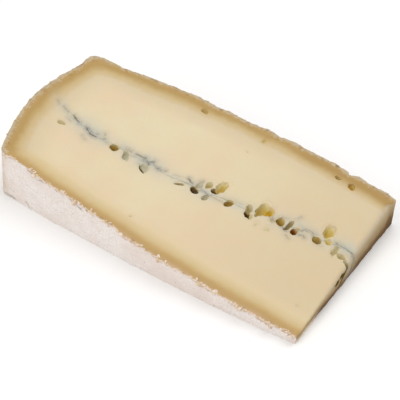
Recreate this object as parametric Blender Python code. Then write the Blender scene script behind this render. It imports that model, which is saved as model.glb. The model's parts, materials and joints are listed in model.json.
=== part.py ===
"""A wedge of morbier cheese that lies on one of its two knife cuts.

The wheel stands on edge here: its axis is level and runs along Y, past the tip of the wedge.
The heel, the curved rind of the wheel's edge, is at -X and the cut-off tip at +X.
The floor is the lower knife cut, and the upper knife cut is the sloping face on top.
A thin layer of ash runs through the paste, from just inside the heel to the tip.

Along is measured towards the tip, from a line just inside the heel's two edges, and across from
the wheel's middle plane, at right angles to its flat faces.
"""

import math
import random
from dataclasses import dataclass

import bmesh
import bpy
from mathutils import Matrix, Vector, noise

# Driving dimensions, in metres
WHEEL_RADIUS = 0.185  # from the wheel's axis to the middle of the heel
HEEL_EDGE = -0.0020  # along, of the heel's two edges where they stand on the floor
HEEL_BULGE = 0.0080  # how far the middle of the heel stands out past its edges
HEEL_HALF_HEIGHT = 0.0325  # half of the wheel's height at the edges of the heel
NEAR_BELLY = (0.130, 0.0404)  # along and across, where the flat face at -Y bulges most
FAR_BELLY = (0.095, 0.0399)  # and the flat face at +Y
WEDGE_LENGTH = 0.146  # along, of the cut-off tip
HEEL_THICKNESS = 0.0284  # between the two knife cuts, at the heel
TIP_THICKNESS = 0.0101  # and at the tip
CUT_LEAN = 0.159  # how much the upper cut rises for each metre across
NEAR_CORNER = 0.0030  # length of the rounded corner between the heel and the flat face at -Y
FAR_CORNER = 0.0018  # and the flat face at +Y
TIP_UNDERCUT = 0.0009  # how far the tip's cut leans back under itself
TIP_ROUNDING = 0.0011  # radius to which the tip's upper edge has slumped, at the thin side
TIP_ROUNDING_FAR = 0.0028  # and at the thick side
TIP_BLEND = 0.004  # length over which the rind follows the tip's cut
PROUD_RIND = 0.001  # how far the firm rind at +Y stands out past the tip's cut
PROUD_BAND = (0.033, 0.0035)  # across, where it starts, and over what width
FOOT_SPREAD = 0.0027  # how far the soft paste has sagged out at +Y, at the tip's foot
FOOT_REACH = 0.020
FOOT_BAND = (0.015, 0.022)  # across, where it starts, and over what width

ASH_THICKNESS = 0.0008
ASH_START = 0.005  # along, where the ash begins
FIT_GAP = 0.0003  # air between the ash and the paste on each side
SLOT_OVER = 0.003  # how far its slot cuts past the wedge at the top, the bottom and the tip
ASH_DIP = -0.0032  # across, where the ash runs before it climbs towards the tip
ASH_CLIMB = 0.0080
ASH_CLIMB_FROM = 0.060  # along, where the climb begins
ASH_HEEL_RISE = 0.0080  # how far the ash turns up at its start, and over what length
ASH_HEEL_REACH = 0.011
ASH_RIPPLE = 0.0004
ASH_RIPPLE_LENGTH = 0.017
ASH_LEAN = 0.33  # how much the layer leans across for each metre of height, at the tip

# Relief of the rind, in metres
SWELL_DEPTH = 0.0005
SWELL_SIZE = 0.026
PIT_DEPTH = 0.00035
PIT_SIZE = 0.0055
CRAG_DEPTH = 0.0006  # ragged knife edge, where the dry rind crumbles
CRAG_SIZE = 0.0032
CRAG_FADE = 6  # power by which the crags fade out below the edge
WEAR_FADE = 2  # and the wear
TIP_SWELL_DEPTH = 0.00025

# Where the upper knife edge of the rind has worn in, or juts out if the depth is negative.
# Millimetres: place, reach and depth. The place is across at the heel, and along elsewhere.
HEEL_WEAR = ((0.0, 22.0, 0.45), (18.0, 10.0, 0.9), (24.0, 4.0, 0.5), (31.0, 4.0, -0.8))
NEAR_WEAR = (
    (8.0, 6.0, 0.7),
    (38.0, 20.0, 0.4),
    (66.0, 4.0, -0.9),
    (85.0, 14.0, -0.75),
    (116.0, 11.0, -0.6),
    (133.0, 6.0, -0.3),
)
FAR_WEAR = (
    (2.0, 5.0, -0.8),
    (17.0, 5.0, 0.5),
    (43.0, 8.0, -0.35),
    (60.0, 5.0, 0.7),
    (74.0, 9.0, 1.2),
    (90.5, 3.5, 1.1),
    (102.0, 8.0, 0.3),
    (125.5, 1.8, 1.0),
    (141.0, 3.0, -0.5),
)

# Mesh steps
RIND_STEP = 0.0026
TIP_STEP = 0.0028
CORNER_STEPS = 4
RING_SHARES = (0.0, 0.16, 0.33, 0.50, 0.66, 0.80, 0.92, 1.0)
ASH_STEP = 0.0034
ASH_ROWS = 3

AXIS_ALONG = WHEEL_RADIUS + HEEL_EDGE - HEEL_BULGE
MIDDLE_ALONG = (WEDGE_LENGTH + HEEL_EDGE - HEEL_BULGE) / 2


@dataclass(frozen=True)
class Eye:
    """A gas hole that the knife opened: its middle on the cut, its size and its turn."""

    along: float
    across: float
    length: float
    width: float
    depth: float
    turn: float = 0.0


# Millimetres and degrees. The eyes follow the ash, where the two curds knit badly.
SEAM_EYES = (
    Eye(10.9, -5.3, 4.4, 2.4, 1.5),
    Eye(36.9, -3.8, 4.2, 3.8, 3.2),
    Eye(43.2, -4.6, 6.2, 3.2, 1.7, -65),
    Eye(53.1, -5.9, 6.0, 4.4, 1.6, -40),
    Eye(69.6, -4.4, 4.6, 1.6, 1.9, 25),
    Eye(76.3, -3.5, 4.4, 3.5, 4.2, -25),
    Eye(80.2, 1.6, 4.6, 2.8, 1.7, 80),
    Eye(82.0, -4.4, 4.0, 2.4, 1.8, 70),
    Eye(85.0, 3.4, 7.6, 4.2, 3.2, 76),
    Eye(91.4, -1.4, 4.7, 3.3, 2.8, 65),
    Eye(100.1, -0.4, 7.4, 3.5, 4.2, -72),
    Eye(104.4, 3.7, 8.0, 4.8, 3.1, 80),
    Eye(107.1, 4.0, 5.6, 4.4, 3.2, 60),
    Eye(106.0, -4.3, 2.5, 1.7, 0.8, -80),
    Eye(110.9, -3.9, 3.4, 2.2, 0.9, 80),
    Eye(113.5, 2.5, 4.8, 3.6, 3.0, -55),
    Eye(117.2, 2.6, 6.6, 2.1, 2.4, 82),
    Eye(120.4, 1.2, 3.5, 2.9, 4.2, -75),
    Eye(129.8, 2.9, 4.4, 3.5, 3.0, -35),
    Eye(132.2, 8.9, 7.6, 5.2, 2.8, -70),
    Eye(134.0, 4.8, 3.3, 2.8, 1.6),
    Eye(138.3, 2.3, 6.7, 2.6, 1.6, -85),
    Eye(141.8, 1.4, 5.2, 2.8, 1.7, -8),
    Eye(144.9, -0.4, 3.6, 1.7, 2.0, -35),
)
RIND_EYES = (
    Eye(57.7, 33.1, 3.4, 2.2, 1.5, -10),
    Eye(86.9, 33.6, 2.6, 1.9, 0.9, 80),
    Eye(121.9, 34.1, 2.8, 1.6, 1.5),
    Eye(128.6, 33.2, 3.8, 2.9, 2.0, -30),
)
# The two holes at the foot of the tip's crack: across, height, width, depth
TIP_HOLES = ((-4.8, 6.9, 3.0, 1.9), (-8.4, 5.9, 3.4, 1.9))
LARGE_EYE = 6.5  # mm; longer eyes get a finer mesh

UNDER_EYES = 9
UNDER_ALONG = (0.030, 0.132)
UNDER_SPREAD = 0.003
CRACK_SIZE = (0.0026, 0.0009, 0.0046)  # half sizes of the crack in the tip's cut
CRACK_MIDDLE = (-0.0026, 0.0064)  # its middle, across and up
CRACK_LEAN = 0.8  # how far it runs towards -Y for each metre down
LUMP_UNEVENNESS = 0.22  # of the eyes and flakes, as a share of their size
LUMP_GRAIN = 1.3  # noise cells across a lump
LUMP_SCATTER = 900.0  # cells between lumps a metre apart, so that no two are alike
FLAKE_PITCH = 0.0085
FLAKE_SIZES = (0.0009, 0.0023)
SEED = 7

PASTE_COLOUR = (0.80, 0.68, 0.47)
ASH_COLOUR = (0.33, 0.35, 0.37)


def smoothstep(value):
    """0 below 0, 1 above 1, and a smooth climb between."""
    share = min(max(value, 0.0), 1.0)
    return share * share * (3 - 2 * share)


def top_height(along, across):
    """Height of the upper knife cut."""
    slope = (HEEL_THICKNESS - TIP_THICKNESS) / WEDGE_LENGTH
    return HEEL_THICKNESS - slope * along + CUT_LEAN * across


def half_height(along, side):
    """How far across one of the wheel's slightly domed flat faces stands."""
    belly_along, belly_half_height = NEAR_BELLY if side < 0 else FAR_BELLY
    swell = (belly_half_height - HEEL_HALF_HEIGHT) * math.sin(math.pi / 2 * along / belly_along)
    return HEEL_HALF_HEIGHT + swell


def ash_across(along, height):
    """Where the middle of the ash layer runs."""
    climb = ASH_CLIMB * smoothstep((along - ASH_CLIMB_FROM) / (WEDGE_LENGTH - ASH_CLIMB_FROM))
    rise = ASH_HEEL_RISE * math.exp(-along / ASH_HEEL_REACH)
    ripple = ASH_RIPPLE * math.sin(2 * math.pi * along / ASH_RIPPLE_LENGTH)
    lean = ASH_LEAN * along / WEDGE_LENGTH * (height - top_height(along, 0.0))
    return ASH_DIP + climb + rise + ripple + lean


def corner(before, at, after):
    """Points of a rounded corner from before to after, round the sharp corner at."""
    points = []
    for step in range(1, CORNER_STEPS):
        t = step / CORNER_STEPS
        points.append(before * (1 - t) ** 2 + at * 2 * t * (1 - t) + after * t * t)
    return points


def flat_face_line(side):
    """Floor outline of one flat face of the wheel, from the heel to the tip."""
    start = HEEL_EDGE + (NEAR_CORNER if side < 0 else FAR_CORNER)
    steps = round((WEDGE_LENGTH - start) / RIND_STEP)
    line = []
    for step in range(steps + 1):
        along = start + (WEDGE_LENGTH - start) * step / steps
        line.append(Vector((along, side * half_height(along, side))))
    return line


def heel_line():
    """Floor outline of the heel, from its -Y edge to its +Y edge."""
    steps = round(2 * HEEL_HALF_HEIGHT / RIND_STEP)
    line = []
    for step in range(steps + 1):
        across = HEEL_HALF_HEIGHT * (2 * step / steps - 1)
        bulge = HEEL_BULGE * (1 - (across / HEEL_HALF_HEIGHT) ** 2)
        line.append(Vector((HEEL_EDGE - bulge, across)))
    return line[1:-1]


def wheel_outline():
    """Floor outline of the rind, from the tip's -Y corner round the heel to its +Y corner."""
    near = flat_face_line(-1)[::-1]
    far = flat_face_line(1)
    heel = heel_line()
    near_corner = corner(near[-1], Vector((HEEL_EDGE, -HEEL_HALF_HEIGHT)), heel[0])
    far_corner = corner(heel[-1], Vector((HEEL_EDGE, HEEL_HALF_HEIGHT)), far[0])
    return near + near_corner + heel + far_corner + far


def tip_outline():
    """Floor outline of the tip's cut, from its +Y corner to its -Y corner, without the two."""
    near, far = -half_height(WEDGE_LENGTH, -1), half_height(WEDGE_LENGTH, 1)
    steps = round((far - near) / TIP_STEP)
    spots = [far + (near - far) * step / steps for step in range(1, steps)]
    return [Vector((WEDGE_LENGTH, across)) for across in spots]


def rind_relief(place, share):
    """How far the rind stands out at a place: swells, pits, and crags at the upper knife edge."""
    swell = SWELL_DEPTH * noise.noise(place / SWELL_SIZE)
    pits = PIT_DEPTH * noise.noise(place / PIT_SIZE + Vector((9.0, 0.0, 0.0)))
    crags = CRAG_DEPTH * noise.noise(place / CRAG_SIZE) * share**CRAG_FADE
    return swell + pits + crags


def worn(stretches, place):
    """How far the upper knife edge has worn in at a place of one side."""
    total = 0.0
    for middle, reach, depth in stretches:
        total += depth * math.exp(-(((place * 1000 - middle) / reach) ** 2))
    return total * 0.001


def edge_wear(flat, normal):
    """How far the upper knife edge has worn in at a point of the rind's outline."""
    heel = max(-normal.x, 0.0) ** 2 * worn(HEEL_WEAR, flat.y)
    near = max(-normal.y, 0.0) ** 2 * worn(NEAR_WEAR, flat.x)
    far = max(normal.y, 0.0) ** 2 * worn(FAR_WEAR, flat.x)
    return heel + near + far


def tip_shift(across, share):
    """How far the tip's cut lies back: it leans, with a round upper edge up to the firm rind."""
    side = smoothstep(0.5 + across / (2 * HEEL_HALF_HEIGHT))
    radius = TIP_ROUNDING + (TIP_ROUNDING_FAR - TIP_ROUNDING) * side
    below = (1 - share) * top_height(WEDGE_LENGTH, across)
    rounding = radius - math.sqrt(max(radius**2 - max(radius - below, 0.0) ** 2, 0.0))
    firm = smoothstep((across - PROUD_BAND[0]) / PROUD_BAND[1])
    return TIP_UNDERCUT * (1 - share) + rounding * (1 - firm) - PROUD_RIND * share * firm


def sagged(flat, share):
    """How far the soft paste has spread towards +Y at the tip's foot."""
    beside = smoothstep((flat.y - FOOT_BAND[0]) / FOOT_BAND[1])
    tipward = smoothstep(1 - (WEDGE_LENGTH - flat.x) / FOOT_REACH)
    return FOOT_SPREAD * beside * tipward * (1 - share)


def turned_in(flat, height):
    """How far the wheel's curve carries a point inwards at a height, in the heel's half only."""
    radius = AXIS_ALONG - flat.x
    turn = radius - math.sqrt(radius**2 - height**2)
    return turn * (1 - smoothstep(2 * flat.x / WEDGE_LENGTH - 0.5))


def rind_ring(outline, normals, share):
    """The rind's points at one share of the height between the two knife cuts."""
    ring = []
    for flat, normal in zip(outline, normals):
        across = flat.y
        height = share * top_height(flat.x, across)
        along = flat.x + turned_in(flat, height)
        relief = rind_relief(Vector((along, across, height)), share)
        relief -= edge_wear(flat, normal) * share**WEAR_FADE
        along += normal.x * relief
        across += normal.y * relief + sagged(flat, share)
        along -= tip_shift(flat.y, share) * smoothstep(1 - (WEDGE_LENGTH - flat.x) / TIP_BLEND)
        ring.append(Vector((along, across, share * top_height(along, across))))
    return ring


def tip_ring(outline, share):
    """The points of the tip's cut at one share of its height."""
    ring = []
    for flat in outline:
        height = share * top_height(flat.x, flat.y)
        swell = TIP_SWELL_DEPTH * noise.noise(Vector((flat.x, flat.y, height)) / PIT_SIZE)
        along = flat.x - tip_shift(flat.y, share) + swell
        across = flat.y + sagged(flat, share)
        ring.append(Vector((along, across, share * top_height(along, across))))
    return ring


def outline_normals(outline):
    """Outward normals of an open outline that runs clockwise, seen from above."""
    normals = []
    last = len(outline) - 1
    for index in range(len(outline)):
        run = outline[min(index + 1, last)] - outline[max(index - 1, 0)]
        normals.append(Vector((-run.y, run.x)).normalized())
    return normals


def placed(point):
    """A point from along and across to the part's own frame."""
    return Vector((point.x - MIDDLE_ALONG, point.y, point.z))


def add_loop_faces(mesh, lower, upper):
    """Quads between two closed loops of as many points."""
    count = len(lower)
    for index in range(count):
        after = (index + 1) % count
        mesh.faces.new((lower[index], lower[after], upper[after], upper[index]))


def finish_object(name, mesh_data):
    """Writes a bmesh to a new object with its faces pointing out."""
    bmesh.ops.recalc_face_normals(mesh_data, faces=mesh_data.faces)
    mesh = bpy.data.meshes.new(name)
    mesh_data.to_mesh(mesh)
    mesh_data.free()
    made = bpy.data.objects.new(name, mesh)
    bpy.context.scene.collection.objects.link(made)
    return made


def make_wedge():
    """The whole wedge, before the ash and the eyes are cut out of it."""
    rind = wheel_outline()
    normals = outline_normals(rind)
    tip = tip_outline()
    shape = bmesh.new()
    loops = []
    for share in RING_SHARES:
        ring = rind_ring(rind, normals, share) + tip_ring(tip, share)
        loops.append([shape.verts.new(placed(point)) for point in ring])
    for lower, upper in zip(loops, loops[1:]):
        add_loop_faces(shape, lower, upper)
    shape.faces.new(loops[0])
    shape.faces.new(loops[-1])
    return finish_object("paste", shape)


def make_ash(name, half_thickness, start, end, over):
    """The ash layer, or with a larger thickness and over the slot that it lies in."""
    shape = bmesh.new()
    steps = round((end - start) / ASH_STEP)
    loops = []
    for step in range(steps + 1):
        along = start + (end - start) * step / steps
        top = top_height(along, ash_across(along, top_height(along, 0.0)))
        heights = [-over + (top + 2 * over) * row / ASH_ROWS for row in range(ASH_ROWS + 1)]
        right = [Vector((along, ash_across(along, z) + half_thickness, z)) for z in heights]
        left = [Vector((along, ash_across(along, z) - half_thickness, z)) for z in heights]
        loops.append([shape.verts.new(placed(point)) for point in right + left[::-1]])
    for lower, upper in zip(loops, loops[1:]):
        add_loop_faces(shape, lower, upper)
    shape.faces.new(loops[0])
    shape.faces.new(loops[-1])
    return finish_object(name, shape)


def make_blob(name, collection, size, place, facets):
    """An uneven rounded lump of the given half sizes, placed by a matrix."""
    shape = bmesh.new()
    bmesh.ops.create_icosphere(shape, subdivisions=facets, radius=1.0)
    centre = place.translation
    for vert in shape.verts:
        uneven = noise.noise(vert.co * LUMP_GRAIN + centre * LUMP_SCATTER)
        vert.co = vert.co * (1 + LUMP_UNEVENNESS * uneven)
        vert.co = Vector((vert.co.x * size[0], vert.co.y * size[1], vert.co.z * size[2]))
    bmesh.ops.transform(shape, matrix=place, verts=shape.verts)
    blob = finish_object(name, shape)
    bpy.context.scene.collection.objects.unlink(blob)
    collection.objects.link(blob)
    return blob


def as_cutter(blob):
    """Keeps a helper out of the part."""
    blob.hide_render = True
    blob.display_type = "WIRE"


def cut_slope():
    """Rotation that lays a shape's XY plane into the upper knife cut."""
    slope = (HEEL_THICKNESS - TIP_THICKNESS) / WEDGE_LENGTH
    normal = Vector((slope, -CUT_LEAN, 1.0)).normalized()
    return Vector((0, 0, 1)).rotation_difference(normal).to_matrix().to_4x4()


def make_eye(collection, index, eye, upper=True):
    """The cutter of one eye, half sunk in the upper knife cut or in the lower one."""
    along, across = eye.along * 0.001, eye.across * 0.001
    height = top_height(along, across) if upper else 0.0
    tilt = cut_slope() if upper else Matrix.Identity(4)
    place = Matrix.Translation(placed(Vector((along, across, height))))
    place = place @ tilt @ Matrix.Rotation(math.radians(eye.turn), 4, "Z")
    size = (eye.length * 0.0005, eye.width * 0.0005, eye.depth * 0.001)
    facets = 3 if eye.length > LARGE_EYE else 2
    as_cutter(make_blob(f"eye_{index:02d}", collection, size, place, facets))


def under_eyes(dice):
    """Eyes of the lower knife cut, scattered along the ash like those above."""
    for _ in range(UNDER_EYES):
        along = dice.uniform(*UNDER_ALONG)
        across = ash_across(along, 0.0) + dice.uniform(-UNDER_SPREAD, UNDER_SPREAD)
        length = dice.uniform(2.4, 5.4)
        width = length * dice.uniform(0.45, 0.9)
        depth = dice.uniform(1.0, 2.2)
        yield Eye(along * 1000, across * 1000, length, width, depth, dice.uniform(-90, 90))


def make_tip_holes(collection):
    """The crack in the tip's cut, and the two holes at its foot."""
    lean = Matrix.Rotation(-math.atan(CRACK_LEAN), 4, "X")
    place = Matrix.Translation(placed(Vector((WEDGE_LENGTH, *CRACK_MIDDLE)))) @ lean
    as_cutter(make_blob("tip_crack", collection, CRACK_SIZE, place, 3))
    for index, (across, height, width, depth) in enumerate(TIP_HOLES):
        spot = placed(Vector((WEDGE_LENGTH, across * 0.001, height * 0.001)))
        size = (depth * 0.001, width * 0.0005, width * 0.00035)
        as_cutter(make_blob(f"tip_hole_{index}", collection, size, Matrix.Translation(spot), 2))


def make_flakes(collection, dice):
    """Crumbs of dry rind that stand up along the upper knife edge."""
    outline = wheel_outline()
    normals = outline_normals(outline)
    walked, due = 0.0, 0.5 * FLAKE_PITCH
    index = 0
    for before, flat, normal in zip(outline, outline[1:], normals[1:]):
        walked += (flat - before).length
        if walked < due or flat.x > WEDGE_LENGTH - TIP_BLEND:
            continue
        due = walked + FLAKE_PITCH * dice.uniform(0.6, 1.5)
        size = dice.uniform(*FLAKE_SIZES)
        inset = dice.uniform(0.0, 0.5) * size + edge_wear(flat, normal)
        along = flat.x + turned_in(flat, top_height(flat.x, flat.y)) - normal.x * inset
        across = flat.y - normal.y * inset
        height = top_height(along, across)
        heading = math.atan2(normal.y, normal.x) + dice.uniform(-0.5, 0.5)
        place = Matrix.Translation(placed(Vector((along, across, height))))
        place = place @ cut_slope() @ Matrix.Rotation(heading, 4, "Z")
        half = (0.45 * size, size * dice.uniform(0.6, 1.1), 0.4 * size)
        make_blob(f"flake_{index:02d}", collection, half, place, 1)
        index += 1


def new_collection(name):
    """An empty collection in the scene."""
    made = bpy.data.collections.new(name)
    bpy.context.scene.collection.children.link(made)
    return made


def add_boolean(target, operation, other=None, collection=None):
    """Cuts or joins with one object, or with all of a collection."""
    modifier = target.modifiers.new(operation.lower(), "BOOLEAN")
    modifier.operation = operation
    modifier.solver = "EXACT"
    if collection is None:
        modifier.object = other
    else:
        modifier.operand_type = "COLLECTION"
        modifier.collection = collection
    return modifier


def join_flakes(target, collection):
    """Fuses the flakes to the wedge and removes them."""
    add_boolean(target, "UNION", collection=collection)
    bpy.context.view_layer.update()
    graph = bpy.context.evaluated_depsgraph_get()
    joined = bpy.data.meshes.new_from_object(target.evaluated_get(graph))
    target.modifiers.clear()
    target.data = joined
    for flake in list(collection.objects):
        bpy.data.objects.remove(flake)
    bpy.data.collections.remove(collection)


def dress(target, name, colour, roughness):
    """Gives an object its own material."""
    material = bpy.data.materials.new(name)
    material.use_nodes = True
    shader = material.node_tree.nodes["Principled BSDF"]
    shader.inputs["Base Color"].default_value = (*colour, 1.0)
    shader.inputs["Roughness"].default_value = roughness
    shader.inputs["Metallic"].default_value = 0.0
    target.data.materials.clear()
    target.data.materials.append(material)


def main():
    """Builds the two solids: the paste with its rind, and the ash layer in it."""
    for old in list(bpy.data.objects):
        bpy.data.objects.remove(old)
    dice = random.Random(SEED)

    paste = make_wedge()
    flakes = new_collection("flakes")
    make_flakes(flakes, dice)
    join_flakes(paste, flakes)

    half = ASH_THICKNESS / 2
    end = WEDGE_LENGTH - TIP_UNDERCUT - TIP_ROUNDING
    ash = make_ash("ash_layer", half, ASH_START, end, 0.0)
    past_tip = WEDGE_LENGTH + SLOT_OVER
    slot = make_ash("ash_slot", half + FIT_GAP, ASH_START - FIT_GAP, past_tip, SLOT_OVER)
    as_cutter(slot)

    eyes = new_collection("eyes")
    everywhere = [*SEAM_EYES, *RIND_EYES]
    for index, eye in enumerate(everywhere):
        make_eye(eyes, index, eye)
    for index, eye in enumerate(under_eyes(dice), len(everywhere)):
        make_eye(eyes, index, eye, upper=False)
    make_tip_holes(eyes)

    add_boolean(paste, "DIFFERENCE", other=slot)
    add_boolean(paste, "DIFFERENCE", collection=eyes)
    add_boolean(ash, "DIFFERENCE", collection=eyes)
    dress(paste, "morbier_paste", PASTE_COLOUR, 0.5)
    dress(ash, "vegetable_ash", ASH_COLOUR, 0.8)


main()
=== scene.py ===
"""Looks of a morbier wedge: moist ivory paste, dry bloomy rind, a wisp of ash and gas holes.

Lengths inside the classes are millimetres: "along" runs towards the cut-off tip from just inside
the heel's two edges, "across" from the wheel's middle plane towards the thick side, and "height"
up from the floor, which is the lower knife cut. A piece turns to metres when its mesh is written.
"""

import json
import logging
import math
import random
from collections.abc import Iterable
from dataclasses import dataclass
from enum import Enum
from functools import partial

import bmesh
import bpy
import numpy as np
from mathutils import Matrix, Vector, noise
from mathutils.geometry import delaunay_2d_cdt

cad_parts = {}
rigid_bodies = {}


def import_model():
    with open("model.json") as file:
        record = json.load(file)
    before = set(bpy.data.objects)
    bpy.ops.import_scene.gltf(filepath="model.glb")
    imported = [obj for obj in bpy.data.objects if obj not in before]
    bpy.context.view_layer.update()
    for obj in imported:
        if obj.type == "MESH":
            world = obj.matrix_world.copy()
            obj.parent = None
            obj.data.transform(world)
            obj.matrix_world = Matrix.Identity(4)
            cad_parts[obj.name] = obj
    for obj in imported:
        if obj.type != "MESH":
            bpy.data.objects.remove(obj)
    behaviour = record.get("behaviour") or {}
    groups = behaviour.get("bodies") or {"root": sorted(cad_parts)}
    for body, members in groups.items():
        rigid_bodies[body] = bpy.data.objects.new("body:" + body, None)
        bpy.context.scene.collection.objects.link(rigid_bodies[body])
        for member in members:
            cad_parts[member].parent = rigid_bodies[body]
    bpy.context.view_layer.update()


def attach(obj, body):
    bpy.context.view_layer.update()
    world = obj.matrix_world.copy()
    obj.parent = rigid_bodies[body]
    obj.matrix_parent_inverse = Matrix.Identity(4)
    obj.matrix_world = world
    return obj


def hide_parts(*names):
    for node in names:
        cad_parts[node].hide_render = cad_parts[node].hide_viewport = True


log = logging.getLogger("morbier")

Array = np.ndarray
Piece = bpy.types.Object
Pair = tuple[float, float]
Triple = tuple[float, float, float]

MM = 0.001
BODY = "root"

# Inputs that share a name with others go by number: a Math node's values are 0, 1 and 2, a Map
# Range node's ends are 1 and 2 going in and 3 and 4 coming out, a Random Value node's are 0 and
# 1 for vectors and 2 and 3 for floats, and a Mix node for colours has its share at 0 and these
UNDER, OVER, MIXED = 6, 7, 2


# ---------------------------------------------------------------- colours, nodes and noise


def linear(hex_colour: str) -> tuple[float, float, float, float]:
    """Turns an sRGB hex colour into the linear colour that shaders take.

    Args:
        hex_colour: Six hex digits, such as "E5D4B6".

    Returns:
        Red, green, blue and an alpha of 1.
    """
    channels = [int(hex_colour[start : start + 2], 16) / 255 for start in (0, 2, 4)]
    red, green, blue = (
        c / 12.92 if c <= 0.04045 else ((c + 0.055) / 1.055) ** 2.4 for c in channels
    )
    return red, green, blue, 1.0


def per_mm(size: float) -> float:
    """Scale of a texture on Object coordinates whose lumps are this many millimetres wide."""
    return 1 / (size * MM)


def add_node(
    tree: bpy.types.NodeTree,
    kind: str,
    inputs: dict[str | int, object] | None = None,
    out: str | int = 0,
    **settings: object,
) -> bpy.types.NodeSocket:
    """Adds one node with its settings, and sets or links its inputs.

    Args:
        tree: The shader or geometry tree.
        kind: Blender's name of the node type.
        inputs: For each input's name or index, a value or the output socket that feeds it.
        out: Name or index of the output that is wanted.
        settings: Properties of the node itself, such as operation="ADD".

    Returns:
        The output socket, whose node is its node property.
    """
    node = tree.nodes.new(kind)
    for name, value in settings.items():
        setattr(node, name, value)
    for key, value in (inputs or {}).items():
        if isinstance(value, bpy.types.NodeSocket):
            tree.links.new(value, node.inputs[key])
        else:
            node.inputs[key].default_value = value
    return node.outputs[out] if node.outputs else None


def fill_ramp(
    socket: bpy.types.NodeSocket, stops: Iterable[tuple[float, str]], span: float
) -> None:
    """Gives a Color Ramp its stops.

    Args:
        socket: The ramp's colour output.
        stops: Depth in millimetres and sRGB colour of each stop, from the shallowest.
        span: The depth at the ramp's end.
    """
    elements = socket.node.color_ramp.elements
    while len(elements) > 1:
        elements.remove(elements[-1])
    first, *rest = stops
    elements[0].position, elements[0].color = first[0] / span, linear(first[1])
    for depth, colour in rest:
        elements.new(depth / span).color = linear(colour)


def new_material(name: str) -> tuple[bpy.types.Material, bpy.types.NodeTree, bpy.types.Node]:
    """A material, its tree and its Principled shader.

    Args:
        name: The material's name.

    Returns:
        The three of them.
    """
    material = bpy.data.materials.new(name)
    material.use_nodes = True
    tree = material.node_tree
    return material, tree, tree.nodes["Principled BSDF"]


def smoothstep(value: Array) -> Array:
    """0 below 0, 1 above 1, and a smooth climb between."""
    share = np.clip(value, 0.0, 1.0)
    return share * share * (3 - 2 * share)


def noise_field(points: Array, size: float, shift: float = 0.0) -> Array:
    """Smooth noise at each point, between about -1 and 1.

    Args:
        points: One row of three coordinates in millimetres for each point.
        size: Width of the noise's lumps in millimetres.
        shift: Moves the pattern, so that two fields of one size differ.

    Returns:
        One value for each point.
    """
    scaled = points / size + shift
    return np.array([noise.noise(Vector(row)) for row in scaled.tolist()])


@dataclass(frozen=True)
class Lumps:
    """One layer of smooth unevenness: its height, the width of its lumps and its pattern."""

    height: float
    width: float
    shift: float = 0.0

    def at(self, points: Array) -> Array:
        """How far the layer stands out at each point."""
        return self.height * noise_field(points, self.width, self.shift)


@dataclass(frozen=True)
class Climb:
    """A smooth climb from 0 to 1: where it starts, and its width, below 0 for one that falls."""

    start: float
    width: float

    def at(self, value: Array) -> Array:
        """How far the climb has come at each value."""
        return smoothstep((value - self.start) / self.width)


def flat_points(along: Array, across: Array) -> Array:
    """Points on the floor below places on a cut, for noise that doesn't change with height."""
    return np.stack([along, across, np.zeros_like(along)], 1)


# ---------------------------------------------------------------- the wedge's form


class Side(Enum):
    """One of the three stretches of the rind."""

    HEEL = "heel"
    NEAR = "near"
    FAR = "far"


@dataclass(frozen=True)
class Wear:
    """A stretch where the rind's upper edge has worn in, or juts out if the depth is negative.

    The place and the reach are across at the heel, and along at the two flat faces.
    """

    side: Side
    place: float
    reach: float
    depth: float


EDGE_WEAR = (
    Wear(Side.HEEL, 0.0, 22.0, 0.45),
    Wear(Side.HEEL, 18.0, 10.0, 0.90),
    Wear(Side.HEEL, 24.0, 4.0, 0.50),
    Wear(Side.HEEL, 31.0, 4.0, -0.80),
    Wear(Side.FAR, 2.0, 5.0, -0.80),
    Wear(Side.FAR, 17.0, 5.0, 0.50),
    Wear(Side.FAR, 43.0, 8.0, -0.35),
    Wear(Side.FAR, 60.0, 5.0, 0.70),
    Wear(Side.FAR, 74.0, 9.0, 1.20),
    Wear(Side.FAR, 90.5, 3.5, 1.10),
    Wear(Side.FAR, 102.0, 8.0, 0.30),
    Wear(Side.FAR, 125.5, 1.8, 1.00),
    Wear(Side.FAR, 141.0, 3.0, -0.50),
    Wear(Side.NEAR, 8.0, 6.0, 0.70),
    Wear(Side.NEAR, 38.0, 20.0, 0.40),
    Wear(Side.NEAR, 66.0, 4.0, -0.90),
    Wear(Side.NEAR, 85.0, 14.0, -0.75),
    Wear(Side.NEAR, 116.0, 11.0, -0.60),
    Wear(Side.NEAR, 133.0, 6.0, -0.30),
)


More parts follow.
